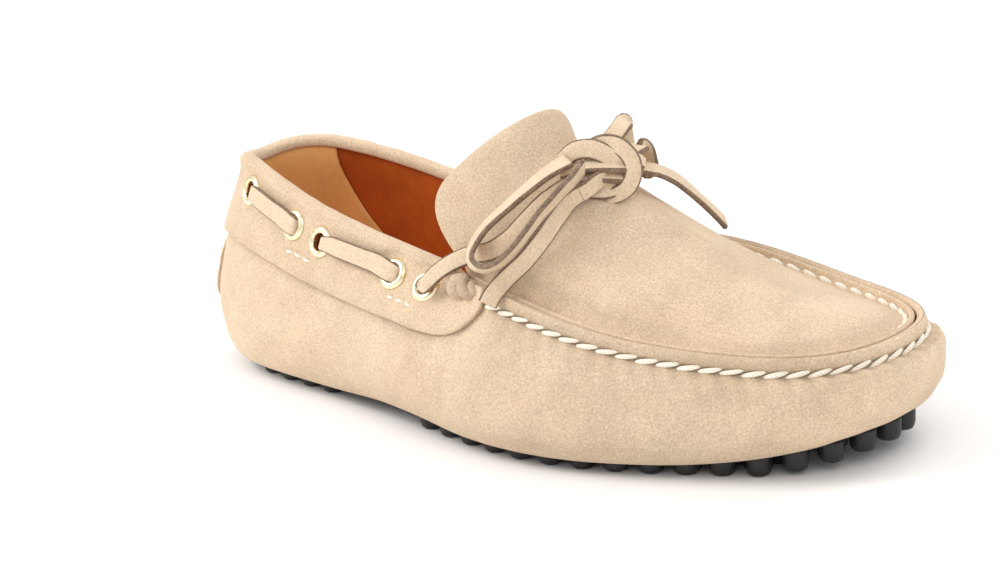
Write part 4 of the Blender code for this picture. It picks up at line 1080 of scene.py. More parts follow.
def subdivide(verts, faces, levels):
    mesh = bpy.data.meshes.new("net")
    mesh.from_pydata([tuple(v) for v in verts], [], [tuple(int(i) for i in f) for f in faces])
    ob = bpy.data.objects.new("net", mesh)
    bpy.context.scene.collection.objects.link(ob)
    mod = ob.modifiers.new("s", "SUBSURF")
    mod.levels = mod.render_levels = levels
    mod.boundary_smooth = "ALL"
    fine = ob.evaluated_get(bpy.context.evaluated_depsgraph_get()).to_mesh()
    v = np.zeros(len(fine.vertices) * 3)
    fine.vertices.foreach_get("co", v)
    n = np.zeros(len(fine.vertices) * 3)
    fine.vertices.foreach_get("normal", n)
    f = [tuple(p.vertices) for p in fine.polygons]
    bpy.data.objects.remove(ob, do_unlink=True)
    return v.reshape(-1, 3), n.reshape(-1, 3), f


v, n, f = subdivide(*apron_net(), 3)
# distance to the free edge, for a rounded edge and the seam's gathers
edge_count = {}
for q in f:
    for a, b in zip(q, q[1:] + q[:1]):
        edge_count[(a, b)] = 1
rim_ids = sorted({a for (a, b) in edge_count if (b, a) not in edge_count} | {b for (a, b) in edge_count if (b, a) not in edge_count})
rim_pts = v[rim_ids]
near_edge = np.full(len(v), 99.0)
for i in range(0, len(v), 4000):
    chunk = v[i : i + 4000]
    near_edge[i : i + 4000] = np.sqrt(((chunk[:, None, :] - rim_pts[None, :, :]) ** 2).sum(-1).min(1))
on_seam = ease((v[:, 0] - 146.0) / 8.0)
k_near = np.array([np.argmin(((seam_rim[::4] - p) ** 2).sum(1)) for p in v[near_edge < 16.0]]) * 4
d_along = np.zeros(len(v))
d_along[near_edge < 16.0] = seam_d[k_near]
pull = 0.5 - 0.5 * np.cos(2 * math.pi * d_along / STITCH)
APRON_CREASES = [
    ((163.0, -38.0, 66.0), (176.0, -20.0, 74.0), 7.0, -0.5),
    ((180.0, -30.0, 62.0), (196.0, -12.0, 63.0), 9.0, -0.35),
    ((166.0, 34.0, 64.0), (180.0, 18.0, 74.0), 8.0, -0.5),
    ((214.0, -22.0, 50.0), (226.0, 4.0, 51.0), 10.0, -0.25),
    ((234.0, -10.0, 45.0), (246.0, 16.0, 44.5), 8.0, -0.25),
]
lift = 0.22 * lumps(v, 40.0, 2.9) * ease((near_edge - 8.0) / 8.0) + crease_height(v, APRON_CREASES)
lift += on_seam * 0.30 * (pull - 0.5) * np.exp(-(((near_edge - 8.5) / 3.2) ** 2))
v = v + n * lift[:, None]
q = np.clip(near_edge / 0.9, 0, 1)
round_off = np.maximum(np.sqrt(np.clip(1 - (1 - q) ** 2, 0, 1)), 0.2)
count = len(v)
verts = np.concatenate([v + n * (APRON_T / 2 * round_off)[:, None], v - n * (APRON_T / 2 * round_off)[:, None]])
faces = list(f) + [tuple(i + count for i in q[::-1]) for q in f]
index = [0] * len(f) + [1] * len(f)
for (a, b) in edge_count:
    if (b, a) not in edge_count:
        faces.append((b, a, a + count, b + count))
        index.append(2)
# apron tone: random tone, with painted shade in a strip beside the seam, towards the throat and under the bow's knot on
# its lateral side
tone = 1.02 + 0.035 * lumps(v, 30.0, 1.1) - 0.10 * on_seam * np.exp(-(((near_edge - 6.5) / 2.6) ** 2)) - 0.08 * ease((168.0 - v[:, 0]) / 22.0) - 0.05 * np.exp(-(((v[:, 0] - 166.0) / 12.0) ** 2)) * ease((6.0 - v[:, 1]) / 20.0)
apron = piece("apron_suede", verts, faces, [SUEDE, SUEDE, EDGE_PALE], index, np.concatenate([tone, tone]))
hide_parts("apron_tongue")

# ---------------------------------------------------------------- stitches
def sausage(a, b, radius, push, up, segments=10, sides=8, pinch=0.35):
    """One stitch from a to b, bulging by push along up; its ends dip and taper."""
    t = np.linspace(0, 1, segments)
    bulge = np.sin(math.pi * t)
    mid = a[None] * (1 - t[:, None]) + b[None] * t[:, None] + up[None] * (push * (bulge**0.7) - 0.45 * radius * (1 - bulge))[:, None]
    tangent = np.gradient(mid, axis=0)
    tangent /= np.linalg.norm(tangent, axis=1, keepdims=True)
    side = np.cross(tangent, up[None])
    side /= np.linalg.norm(side, axis=1, keepdims=True)
    out = np.cross(side, tangent)
    r = radius * (pinch + (1 - pinch) * bulge**0.55)
    ang = np.linspace(0, 2 * math.pi, sides, endpoint=False)
    ringv = mid[:, None] + r[:, None, None] * (side[:, None] * np.cos(ang)[None, :, None] * 1.12 + out[:, None] * np.sin(ang)[None, :, None] * 0.92)
    verts = np.concatenate([ringv.reshape(-1, 3), mid[:1], mid[-1:]])
    faces = [tuple(f[::-1]) for f in grid_faces(segments, sides, closed_cols=True)]
    c0, c1 = segments * sides, segments * sides + 1
    for j in range(sides):
        k = (j + 1) % sides
        faces.append((c0, k, j))
        faces.append((c1, (segments - 1) * sides + j, (segments - 1) * sides + k))
    length = np.linalg.norm(b - a)
    uv = np.concatenate([np.stack([np.repeat(t * length / 2.2, sides), np.tile(np.arange(sides) / sides * 2.0, segments)], 1), [[0, 0], [length / 2.2, 0]]])
    return verts, faces, uv


def join(parts):
    verts, faces, uvs, at = [], [], [], 0
    for v, f, uv in parts:
        verts.append(v)
        uvs.append(uv)
        faces += [tuple(i + at for i in q) for q in f]
        at += len(v)
    return np.concatenate(verts), faces, np.concatenate(uvs)


def body_point(u, t):
    """Point of the finished body and its normal at t below the rim."""
    s = np.linspace(0.5, 1.0, 120)
    p = outside(np.full(120, u), s)
    z = p[-1, 2] - t
    at = np.array(float(np.interp(z, p[:, 2], s)))
    base = outside(np.array(u), at)
    n = normal(np.array(u), at)
    h = body_relief(np.array([u]), base[None])[0][0]
    return base + n * h, n


stitches = []
count = int(round(seam_d[-1] / STITCH))
wob = np.sin(np.arange(count) * 2.3) * 0.5 + np.sin(np.arange(count) * 5.1 + 1.0) * 0.5
for k in range(count):
    d0 = (k + 0.02) * STITCH
    d1 = (k + 1.20) * STITCH
    lateral = True
    u0, u1 = np.interp([d0, d1], seam_d, seam_u)
    # the thread leans with its forward end higher on the lateral side, and the same turn goes on round the toe
    a, na = body_point(u0, CREASE + 0.75 + 0.15 * wob[k])
    b, nb = body_point(u1, CREASE - 0.75 + 0.12 * wob[k])
    up = (na + nb) / 2
    up[2] *= 0.6
    up /= np.linalg.norm(up)
    stitches.append(sausage(a + up * 0.2, b + up * 0.2, 0.76 + 0.05 * wob[k], 0.62, up, 12, 9, 0.25))
verts, faces, uv = join(stitches)
whip = piece("seam_thread_outer", verts, faces, [THREAD], uv=uv)

inner = []
for k in range(count):
    u0, u1 = np.interp([(k + 0.30) * STITCH, (k + 1.12) * STITCH], seam_d, seam_u)
    ends = []
    for u, drop in ((u0, 2.9), (u1, 2.1)):
        rim, inward = rim_frame(u)
        half = WALL / 2 + GAP + 0.25 + APRON_T / 2
        p = rim + inward * (half + 1.75 + APRON_T / 2)
        p[2] = rim[2] - drop
        ends.append((p, inward))
    up = ends[0][1] + ends[1][1] + np.array([0, 0, 1.0])
    up /= np.linalg.norm(up)
    inner.append(sausage(ends[0][0] + up * 0.1, ends[1][0] + up * 0.25, 0.86, 0.6, up, 10, 8, 0.3))
verts, faces, uv = join(inner)
whip_in = piece("seam_thread_inner", verts, faces, [THREAD], uv=uv)



def band_point(side, x, z):
    u = u_at(x, side)
    i = int(np.argmin(np.abs(((us - u + 0.5) % 1.0) - 0.5)))
    column = P_BAND[i]
    half = column[: len(column) // 2 + 6]
    j = int(np.argmin(np.abs(half[:, 2] - z)))
    return half[j], N_BAND[i][j]




def ribbon(points, width, thick, wide_dir, count=60, sharp_corner=0.28, square=(False, False)):
    """Flat thong along points; wide_dir gives its width's direction at each point. Faces on mat 0, edges on mat 1."""
    p = smooth_route(points, count)
    t = np.gradient(p, axis=0)
    t /= np.linalg.norm(t, axis=1, keepdims=True)
    w = wide_dir(np.linspace(0, 1, count), t)
    w = w - (w * t).sum(1, keepdims=True) * t
    w /= np.linalg.norm(w, axis=1, keepdims=True)
    for i in range(1, count):
        if w[i] @ w[i - 1] < 0:
            w[i] = -w[i]
    n = np.cross(t, w)
    wid = np.interp(np.linspace(0, 1, count), np.linspace(0, 1, len(width)), width) / 2
    h = thick / 2
    c = sharp_corner * thick
    section = []
    for sx, sy in ((-1, -1), (1, -1), (1, 1), (-1, 1)):
        section.append((sx, sy))
    ring_xy = []
    steps = 7
    for i in range(steps):
        ring_xy.append((-1 + 2 * i / (steps - 1), -1.0, 0))
    for i in (1, 2):
        ring_xy.append((1.0, -1 + 2 * i / 3, 1))
    for i in range(steps):
        ring_xy.append((1 - 2 * i / (steps - 1), 1.0, 2))
    for i in (1, 2):
        ring_xy.append((-1.0, 1 - 2 * i / 3, 3))
    m = len(ring_xy)
    verts = np.zeros((count, m, 3))
    waver = lumps(p, 11.0, 0.3)
    for j, (a, b, kind) in enumerate(ring_xy):
        x = a * wid
        y = np.full(count, b * h)
        if abs(a) == 1.0 and abs(b) == 1.0:
            x = np.sign(a) * (wid - c * 0.6)
        if kind in (1, 3):
            x = np.sign(a) * (wid + 0.18)
        y = y * (1 - 0.10 * abs(a) ** 3) + 0.12 * waver * (1 if b > 0 else 0.6)
        verts[:, j] = p + w * x[:, None] + n * y[:, None]
    count_v = count * m
    verts = verts.reshape(-1, 3)
    faces, index = [], []
    for i in range(count - 1):
        for j in range(m):
            k = (j + 1) % m
            faces.append((i * m + j, (i + 1) * m + j, (i + 1) * m + k, i * m + k))
            flat = (j < steps - 1) or (steps + 2 <= j + 0 < 2 * steps + 1)
            index.append(0 if flat else 1)
    for base, flip in ((0, False), ((count - 1) * m, True)):
        cap = [base + j for j in range(m)]
        faces.append(tuple(cap if flip else cap[::-1]))
        index.append(1)
    # outward faces
    f0 = faces[3]
    q = verts[list(f0)]
    if np.cross(q[1] - q[0], q[2] - q[0]) @ (q.mean(0) - p[0]) < 0:
        faces = [f[::-1] for f in faces]
    return verts, faces, index, p


def turned(degrees):
    """Width direction turned about the strand: 0 lies flat towards the eye, 90 shows its edge."""
    degrees = np.atleast_1d(np.array(degrees, float))

    def at(share, t):
        a = np.radians(np.interp(share, np.linspace(0, 1, len(degrees)), degrees))[:, None]
        c = TO_EYE[None] - (t @ TO_EYE)[:, None] * t
        c /= np.linalg.norm(c, axis=1, keepdims=True)
        s = np.cross(t, c)
        return np.cos(a) * s + np.sin(a) * c

    return at


BOW = {
    "lace_tie_lat": [(126.6, -47.6, 52.1), (131.1, -45.6, 56.6), (135.0, -42.5, 59.5), (139.6, -39.7, 61.6), (148.0, -39.6, 63.9), (155.1, -38.2, 68.3), (159.6, -34.5, 73.8), (162.5, -28.3, 78.6), (164.6, -21.0, 81.4), (166.2, -14.3, 83.3)],
    "lace_tie_med": [(126.5, 37.5, 52.5), (131.5, 35.2, 56.0), (137.0, 33.3, 58.3), (146.3, 27.6, 68.0), (151.8, 21.6, 77.0), (156.6, 13.0, 83.8), (160.2, 5.6, 87.2)],
    "lace_loop_lat": [(163.9, -17.2, 89.7), (161.2, -22.6, 87.6), (158.0, -29.0, 83.9), (154.0, -34.6, 79.2), (149.4, -38.4, 74.4), (145.6, -41.5, 69.4), (144.4, -44.2, 65.6), (147.4, -48.0, 62.6), (152.8, -49.6, 61.6), (158.8, -49.2, 63.8), (163.4, -46.4, 68.4), (166.2, -42.6, 73.4), (168.2, -36.8, 78.6), (169.8, -30.2, 82.9), (171.0, -23.0, 86.6), (170.5, -18.6, 88.4)],
    "lace_loop_med": [(163.6, 4.6, 90.4), (164.6, 8.4, 93.4), (163.6, 13.0, 95.0), (160.6, 17.6, 93.6), (157.4, 22.0, 90.0), (154.6, 26.6, 84.8), (153.0, 30.6, 79.2), (153.6, 33.4, 74.6), (157.0, 33.6, 73.6), (160.8, 30.6, 76.6), (164.0, 25.6, 81.0), (167.0, 19.6, 85.2), (169.6, 14.0, 87.6), (171.6, 9.4, 88.4)],
    "lace_end_lat": [(172.6, -19.8, 81.9), (169.4, -24.0, 79.3), (168.2, -30.2, 74.9), (167.2, -36.4, 69.8), (164.0, -41.9, 63.6), (159.0, -45.2, 58.2), (157.0, -50.5, 53.9), (155.6, -51.8, 50.8)],
    "lace_end_med": [(174.8, 6.0, 82.9), (176.7, 12.0, 80.9), (178.4, 19.0, 77.0), (180.0, 26.6, 70.6), (180.8, 34.4, 63.6), (181.6, 41.4, 56.9)],
}
KNOT_ROUTE = [(163.4, -12.6, 87.2), (165.6, -10.4, 91.2), (170.0, -7.6, 92.8), (174.6, -6.4, 91.2), (177.0, -6.4, 87.6), (176.8, -7.6, 83.8)]
THONGS = {  # width's turn along the strand, widths along it, far end, lay
    "lace_tie_lat": ([20, 10, 0, 0, 15], [5.0, 5.6, 6.0, 6.2, 6.2], "knot", "taut"),
    "lace_tie_med": ([20, 30, 60, 40], [5.0, 6.0, 6.2, 6.2], "knot", "taut"),
    "lace_loop_lat": ([132, 118, 110, 106, 104, 106, 112, 118], [6.0, 6.2], "knot", "loose"),
    "lace_loop_med": ([20, 25, 40, 60, 60, 50], [6.0, 6.2], "knot", "loose"),
    "lace_end_lat": ([30, 18, 14, 6], [5.6, 5.9], "bare", "hanging"),
    "lace_end_med": ([55, 60, 70, 65], [6.2, 6.2], "bare", "hanging"),
}
for name, (turn, widths, far, lay) in THONGS.items():
    verts, faces, index, line = ribbon(BOW[name], widths, 2.0, turned(turn), 90)
    piece(name.replace("lace_", "thong_"), verts, faces, [THONG, THONG_EDGE], index)
    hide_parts(name)

# knot: two short wraps of the same thong round the crossing
KNOT = np.array((170.9, -8.5, 85.8))


def at_knot(points):
    """Points given across, up and out of the knot as the bow is looked at from the front outer side."""
    return [KNOT + right * a * 0.93 + upward * b * 0.93 + back * c for a, b, c in points]


wraps = []
for route, turn, width in (
    # the strand that turns over the top and down the front
    (at_knot([(-4, 7.6, -0.5), (0, 8.9, 2.2), (5, 7.8, 4.2), (9.2, 3.6, 4.8), (10.2, -1.6, 4.6), (8.2, -6.4, 3.6), (4, -9.0, 2.0), (-1, -9.2, -0.6)]), [-30, -20, -12, -8, 0, 8, 14, 20], [5.0, 5.2, 5.4, 5.4, 5.4, 5.4, 5.2, 4.8]),
    # the fold that comes in at the upper left
    (at_knot([(-14, 2.6, -0.6), (-9.5, 6.0, 1.2), (-4, 6.6, 2.8), (1.5, 4.4, 3.4), (6, 1.0, 2.6)]), [18, 8, 0, -6, -12], [5.2, 6.0, 6.2, 6.0, 5.6]),
    # the loops' feet and the tie, drawn together under the first
    (at_knot([(-14, -2.4, 0.8), (-8, 0.2, 2.6), (-1, 0.8, 3.2), (7, 0.6, 3.0), (11, 1.6, 0.6)]), [64, 60, 56, 60, 60], [6.0, 6.2, 6.2, 6.0, 5.6]),
    (at_knot([(-13, -6.4, 0.2), (-7, -3.2, 1.8), (0, -2.4, 2.6), (7, -2.6, 2.2), (11, -1.0, 0.0)]), [60, 54, 50, 50, 50], [6.0, 6.2, 6.2, 6.0, 5.6]),
    # the turn that shows below
    (at_knot([(-8.5, -7.4, -0.8), (-4, -7.2, 1.4), (1, -7.2, 2.0), (6, -5.8, 1.4), (9.5, -2.6, -0.6)]), [4, 8, 12, 12, 20], [5.0, 5.8, 6.0, 5.8, 5.0]),
    # from inside the knot out to each strand's own start
    ([(166.0, -7.0, 88.0), (164.6, -1.0, 90.0), (163.6, 4.6, 90.4), (164.1, 6.6, 92.0)], [40, 30, 20], [5.6, 6.0, 6.0]),
    ([(171.6, -5.0, 87.4), (171.9, 3.0, 88.0), (171.6, 9.4, 88.4), (170.9, 11.4, 88.2)], [55, 50, 50], [5.6, 6.0, 6.2]),
    ([(173.6, -7.0, 83.8), (174.1, 0.0, 83.8), (174.8, 6.0, 82.9), (175.6, 8.6, 82.2)], [50, 55, 55], [5.6, 6.0, 6.2]),
    ([(166.4, -6.0, 85.0), (162.6, 0.0, 87.0), (160.2, 5.6, 87.2), (158.6, 9.2, 85.8)], [40, 40, 40], [5.6, 6.0, 6.2]),
    ([(173.0, -7.0, 83.4), (173.2, -14.0, 83.6), (172.6, -19.8, 81.9), (171.4, -21.6, 81.0)], [30, 30, 30], [5.6, 5.6, 5.6]),
    ([(168.6, -6.0, 84.0), (167.4, -11.0, 83.8), (166.2, -14.3, 83.3), (165.6, -17.0, 82.5)], [15, 15, 15], [5.6, 6.0, 6.2]),
    # where the far loop and the far end leave
    (at_knot([(2, 5.4, -1.6), (7, 4.6, -1.2), (11.6, 3.2, -1.8), (14, 1.6, -2.6)]), [50, 50, 55, 60], [5.4, 5.8, 6.0, 6.0]),
):
    verts, faces, index, _ = ribbon(route, width, 2.2, turned(turn), 44)
    wraps.append((verts, faces, index))
CORE = np.array([168.8, -3.6, 86.0])
ball, ball_faces = [], []
for i in range(1, 14):
    for j in range(24):
        a, b = math.pi * i / 14, 2 * math.pi * j / 24
        ball.append(CORE + np.array([5.4 * math.sin(a) * math.cos(b), 10.6 * math.sin(a) * math.sin(b), 4.8 * math.cos(a)]))
for q in grid_faces(13, 24, closed_cols=True):
    ball_faces.append(tuple(q))
ball += [CORE + np.array([0.0, 0.0, 4.8]), CORE - np.array([0.0, 0.0, 4.8])]
for j in range(24):
    ball_faces.append((len(ball) - 2, j, (j + 1) % 24))
    ball_faces.append((len(ball) - 1, 12 * 24 + (j + 1) % 24, 12 * 24 + j))
wraps.append((np.array(ball), ball_faces, [0] * len(ball_faces)))
verts = np.concatenate([v for v, _, _ in wraps])
faces, index, at = [], [], 0
for v, f, ix in wraps:
    faces += [tuple(i + at for i in q) for q in f]
    index += ix
    at += len(v)
knot = piece("thong_knot", verts, faces, [THONG, THONG_EDGE], index)
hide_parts("lace_knot")

# ---------------------------------------------------------------- the thong's runs along the collar
for side, tag in ((-1, "lat"), (1, "med")):
    for first, second, where in ((1, 2, "rear"), (3, 4, "front")):
        a, b = eyelets[(side, first)], eyelets[(side, second)]
        route = [a["c"] - a["n"] * 1.6 + (b["c"] - a["c"]) * 0.004, a["c"] + a["n"] * (a["lift"] + 0.6) + (b["c"] - a["c"]) / np.linalg.norm(b["c"] - a["c"]) * 2.2]
        for k in np.linspace(0.2, 0.8, 7):
            x = a["c"][0] + (b["c"][0] - a["c"][0]) * k
            z = a["c"][2] + (b["c"][2] - a["c"][2]) * k
            u = u_at(x, side)
            q = surface_at(u, z)
            route.append(offset(np.array(u), np.array(q), 0.35 + BAND_T + 1.35 + 0.5 * math.sin(math.pi * k)))
        route += [b["c"] + b["n"] * (b["lift"] + 1.15) - (b["c"] - a["c"]) / np.linalg.norm(b["c"] - a["c"]) * 0.4, b["c"] + b["n"] * 0.6 + (b["c"] - a["c"]) / np.linalg.norm(b["c"] - a["c"]) * 1.7, b["c"] - b["n"] * 1.6]

        def flat(share, t, a=a, b=b):
            n = a["n"][None] * (1 - share[:, None]) + b["n"][None] * share[:, None]
            w = np.cross(t, n)
            # the strand keeps its side up through the eyelets
            level = np.array([0.0, 0.0, 1.0])[None] - n * n[:, 2:3]
            return np.where(np.linalg.norm(w, axis=1, keepdims=True) < 0.5, level, w)

        verts, faces, index, _ = ribbon(route, [4.2, 5.0, 6.0, 6.2, 6.2, 6.2, 6.4, 6.6, 6.4, 4.6], 1.9, flat, 70)
        run = piece(f"thong_run_{tag}_{where}", verts, faces, [THONG, THONG_EDGE], index)
        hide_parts(f"lace_bar_{tag}_{where}")
    # from the front eyelet's hole up to where the tie starts
    e = eyelets[(side, 5)]
    start = np.array(BOW["lace_tie_lat" if side < 0 else "lace_tie_med"][0])
    second = np.array(BOW["lace_tie_lat" if side < 0 else "lace_tie_med"][1])
    lead = (second - start) / np.linalg.norm(second - start)
    route = [e["c"] - e["n"] * 1.5, e["c"] + e["n"] * 1.2 + lead * 0.5, start - lead * 0.6, start + lead * 0.8]
    verts, faces, index, _ = ribbon(route, [4.0, 4.4, 5.0, 5.0], 2.1, turned([20]), 24)
    piece(f"thong_lead_{tag}", verts, faces, [THONG, THONG_EDGE], index)

# ---------------------------------------------------------------- eyelets
TURN = 48
ring_profile = [(2.9, -2.6), (2.86, 0.05), (3.0, 0.42), (3.35, 0.74), (3.9, 0.9), (4.5, 0.78), (5.0, 0.45), (5.32, 0.1), (5.4, -0.18), (5.1, -0.4), (4.0, -0.35), (3.3, -0.4), (3.2, -2.6)]
rings = []
for key, e in eyelets.items():
    ang = np.linspace(0, 2 * math.pi, TURN, endpoint=False)
    d = e["x"][None] * np.cos(ang)[:, None] + e["y"][None] * np.sin(ang)[:, None]
    v = np.concatenate([e["c"] + d * r + e["n"] * (h + e["lift"]) for r, h in ring_profile])
    v = v.reshape(len(ring_profile), TURN, 3)
    f = [tuple(q) for q in grid_faces(len(ring_profile), TURN, closed_rows=True, closed_cols=True)]
    flatv = v.reshape(-1, 3)
    q = flatv[list(f[4 * TURN])]
    if np.cross(q[1] - q[0], q[2] - q[0]) @ e["n"] < 0:
        f = [g[::-1] for g in f]
    rings.append((flatv, f, np.zeros((len(flatv), 2))))
verts, faces, _ = join(rings)
eye = piece("eyelets", verts, faces, [BRASS])
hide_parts(*[f"eyelet_{t}_{k}" for t in ("lat", "med") for k in range(1, 6)])

# ---------------------------------------------------------------- keeper stitches on the band
small = []
for side in (-1, 1):
    for (x0, z0), (x1, z1), n in (((54.5, 51.3), (67.6, 49.2), 3), ((107.0, 44.7), (120.6, 43.7), 3)):
        for k in range(n):
            f0, f1 = k / n + 0.03, (k + 1) / n - 0.05
            ends = [band_point(side, x0 + (x1 - x0) * f, z0 + (z1 - z0) * f) for f in (f0, f1)]
            small.append(sausage(ends[0][0] + ends[0][1] * (BAND_T / 2), ends[1][0] + ends[1][1] * (BAND_T / 2), 0.52, 0.42, ends[0][1], 7, 6))
verts, faces, uv = join(small)
piece("keeper_stitches", verts, faces, [THREAD], uv=uv)

# ---------------------------------------------------------------- heel guard
g_rows, g_cols = 40, 46
P = np.zeros((g_rows, g_cols, 3))
NB = np.zeros_like(P)
for k, z in enumerate(GUARD[0][0] + (GUARD[-1][0] - GUARD[0][0]) * spaced(32)[: g_rows]):
    w = float(along(GUARD, z)) * GY
    for j, v in enumerate(-1 + 2 * spaced(g_cols - 8)[:g_cols]):
        probe = np.concatenate([np.linspace(0.86, 1.0, 141)[:-1], np.linspace(0.0, 0.14, 141)])
        if k == 0 and j == 0:
            guard_probe = probe
        if j == 0:
            s_here = 0.3
            pp = outside(probe, np.full(len(probe), 0.5))
        P[k, j] = (0, v * w, z)
us_probe = np.concatenate([np.linspace(0.86, 1.0, 141)[:-1], np.linspace(0.0, 0.14, 141)])
s_probe = np.linspace(0.12, 1.0, 120)
U2, S2 = np.meshgrid(us_probe, s_probe, indexing="ij")
wall_pts = outside(U2, S2)
wall_h = body_relief(U2, wall_pts)[0]
wall_n = normal(U2, S2)
wall_pts = wall_pts + wall_n * wall_h[..., None]
for k in range(g_rows):
    z = P[k, 0, 2]
    row_p = np.array([[np.interp(z, wall_pts[i, :, 2], wall_pts[i, :, c]) for c in range(3)] for i in range(len(us_probe))])
    row_n = np.array([[np.interp(z, wall_pts[i, :, 2], wall_n[i, :, c]) for c in range(3)] for i in range(len(us_probe))])
    centre_i = int(np.argmin(row_p[:, 0]))
    d = np.concatenate([[0.0], np.cumsum(np.linalg.norm(np.diff(row_p, axis=0), axis=1))])
    d -= d[centre_i]
    for j in range(g_cols):
        at = P[k, j, 1]
        for c in range(3):
            NB[k, j, c] = np.interp(at, d, row_n[:, c])
        P[k, j] = [np.interp(at, d, row_p[:, c]) for c in range(3)]
P = P + NB * (0.5 + GUARD_T / 2)
N = grid_normals(P)
if (N * NB).sum() < 0:
    P, NB = P[::-1].copy(), NB[::-1].copy()
    N = grid_normals(P)
verts, faces, index = shell(P, N, GUARD_T / 2, GUARD_T / 2, radius=0.8)
guard_tone = 1.0 - 0.04 * lumps(P, 18.0, 2.0)
guard = piece("heel_guard_suede", verts, faces, [BAND, BAND, EDGE], index, np.concatenate([guard_tone.ravel(), guard_tone.ravel()]))
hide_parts("heel_guard")

# stitching just inside the guard's edge
outline = np.concatenate([P[5, 5:-5], P[5:-5, -6], P[-6, 5:-5][::-1], P[5:-5, 5][::-1]])
outline_n = np.concatenate([N[5, 5:-5], N[5:-5, -6], N[-6, 5:-5][::-1], N[5:-5, 5][::-1]])
d = np.concatenate([[0.0], np.cumsum(np.linalg.norm(np.diff(outline, axis=0), axis=1))])
small = []
n = int(d[-1] / 3.4)
for k in range(n):
    f0, f1 = (k + 0.12) * d[-1] / n, (k + 0.86) * d[-1] / n
    a = np.array([np.interp(f0, d, outline[:, c]) for c in range(3)])
    b = np.array([np.interp(f1, d, outline[:, c]) for c in range(3)])
    nn = np.array([np.interp((f0 + f1) / 2, d, outline_n[:, c]) for c in range(3)])
    nn /= np.linalg.norm(nn)
    small.append(sausage(a + nn * GUARD_T / 2, b + nn * GUARD_T / 2, 0.42, 0.3, nn, 6, 6))
verts, faces, uv = join(small)
piece("guard_stitches", verts, faces, [THREAD], uv=uv)

# ---------------------------------------------------------------- braided knob at each end of the seam
for side, tag in ((-1, "lat"), (1, "med")):
    u = u_at(139.4, side)
    z = 53.0 if side < 0 else 52.5
    s = surface_at(u, min(z, float(outside(u, 1.0)[2]) - 2.5))
    c0 = outside(np.array(u), np.array(s))
    nn = normal(np.array(u), np.array(s))
    fore = np.array([1.0, 0.12, 0.05])
    fore -= nn * (fore @ nn)
    fore /= np.linalg.norm(fore)
    rise = np.cross(nn, fore)
    if rise[2] < 0:
        rise = -rise
    parts = []
    for (x0, z0, h0), (x1, z1, h1), radius, bulge in (
        ((-5.6, 0.4, 1.2), (2.4, 3.2, 1.8), 2.3, 1.5),
        ((-5.2, 2.6, 1.6), (1.6, -3.4, 2.0), 2.2, 2.3),
        ((-4.4, -2.6, 1.0), (3.0, -0.8, 1.8), 2.1, 1.2),
        ((0.8, 2.8, 1.6), (5.4, -2.8, 1.8), 2.1, 2.0),
        ((3.6, 1.6, 1.0), (8.0, -1.6, 0.8), 1.9, 0.9),
    ):
        a = c0 + nn * h0 + fore * x0 + rise * z0
        b = c0 + nn * h1 + fore * x1 + rise * z1
        parts.append(sausage(a, b, radius, bulge, nn, 16, 14, 0.45))
    verts, faces, uv = join(parts)
    piece(f"seam_knob_{tag}", verts, faces, [SUEDE], tone=np.full(len(verts), 0.82))
    ties = []
    pts = [c0 + nn * 1.8 + rise * 2.4 - fore * 7.0, c0 + nn * 1.8 - rise * 1.2 - fore * 7.4, c0 + nn * 1.6 - rise * 4.0 - fore * 5.0, c0 + nn * 1.6 - rise * 5.2 - fore * 0.4, c0 + nn * 1.6 - rise * 4.8 + fore * 4.6]
    for a, b in zip(pts, pts[1:]):
        ties.append(sausage(a, b + (b - a) * 0.18, 0.72, 0.4, nn, 9, 8, 0.3))
    verts, faces, uv = join(ties)
    piece(f"knob_thread_{tag}", verts, faces, [THREAD], uv=uv)

# ---------------------------------------------------------------- footbed
edge = ring(1.2, 240)
middle = edge.mean(0)
shares = np.concatenate([np.linspace(0.02, 0.86, 26), [0.92, 0.96, 0.985, 1.0]])
P = np.zeros((240, len(shares), 3))
axis_x = edge[:, 0].clip(24.0, 250.0)
axis_y = np.interp(axis_x, [20, 60, 100, 150, 200, 250], [-0.5, -1.0, -3.5, -6.0, -3.5, 3.0])
core = np.stack([axis_x, axis_y], 1)
for j, f in enumerate(shares):
    q = core + (edge - core) * f
    P[:, j, :2] = q
    P[:, j, 2] = bottom(q[:, 0]) + 2.3 + INSOLE_T + 2.0 * ease((f - 0.72) / 0.28) ** 2
P[..., 2] += 0.25 * lumps(P, 30.0, 3.3) + np.where(P[..., 0] > 0, -0.6 * np.exp(-(((P[..., 0] - 38) / 24) ** 2 + ((P[..., 1]) / 16) ** 2)), 0)
N = grid_normals(P, closed=True)
if N[:, 10, 2].mean() < 0:
    P = P[::-1].copy()
    N = grid_normals(P, closed=True)
verts, faces, index = shell(P, N, 0.0, 1.6, closed=True)
foot_tone = 1.0 + 0.06 * lumps(P, 30.0, 2.6)
bed = piece("footbed_sheet", verts, faces, [FOOTBED], [0] * len(faces), np.concatenate([foot_tone.ravel(), foot_tone.ravel()]))
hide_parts("insole")

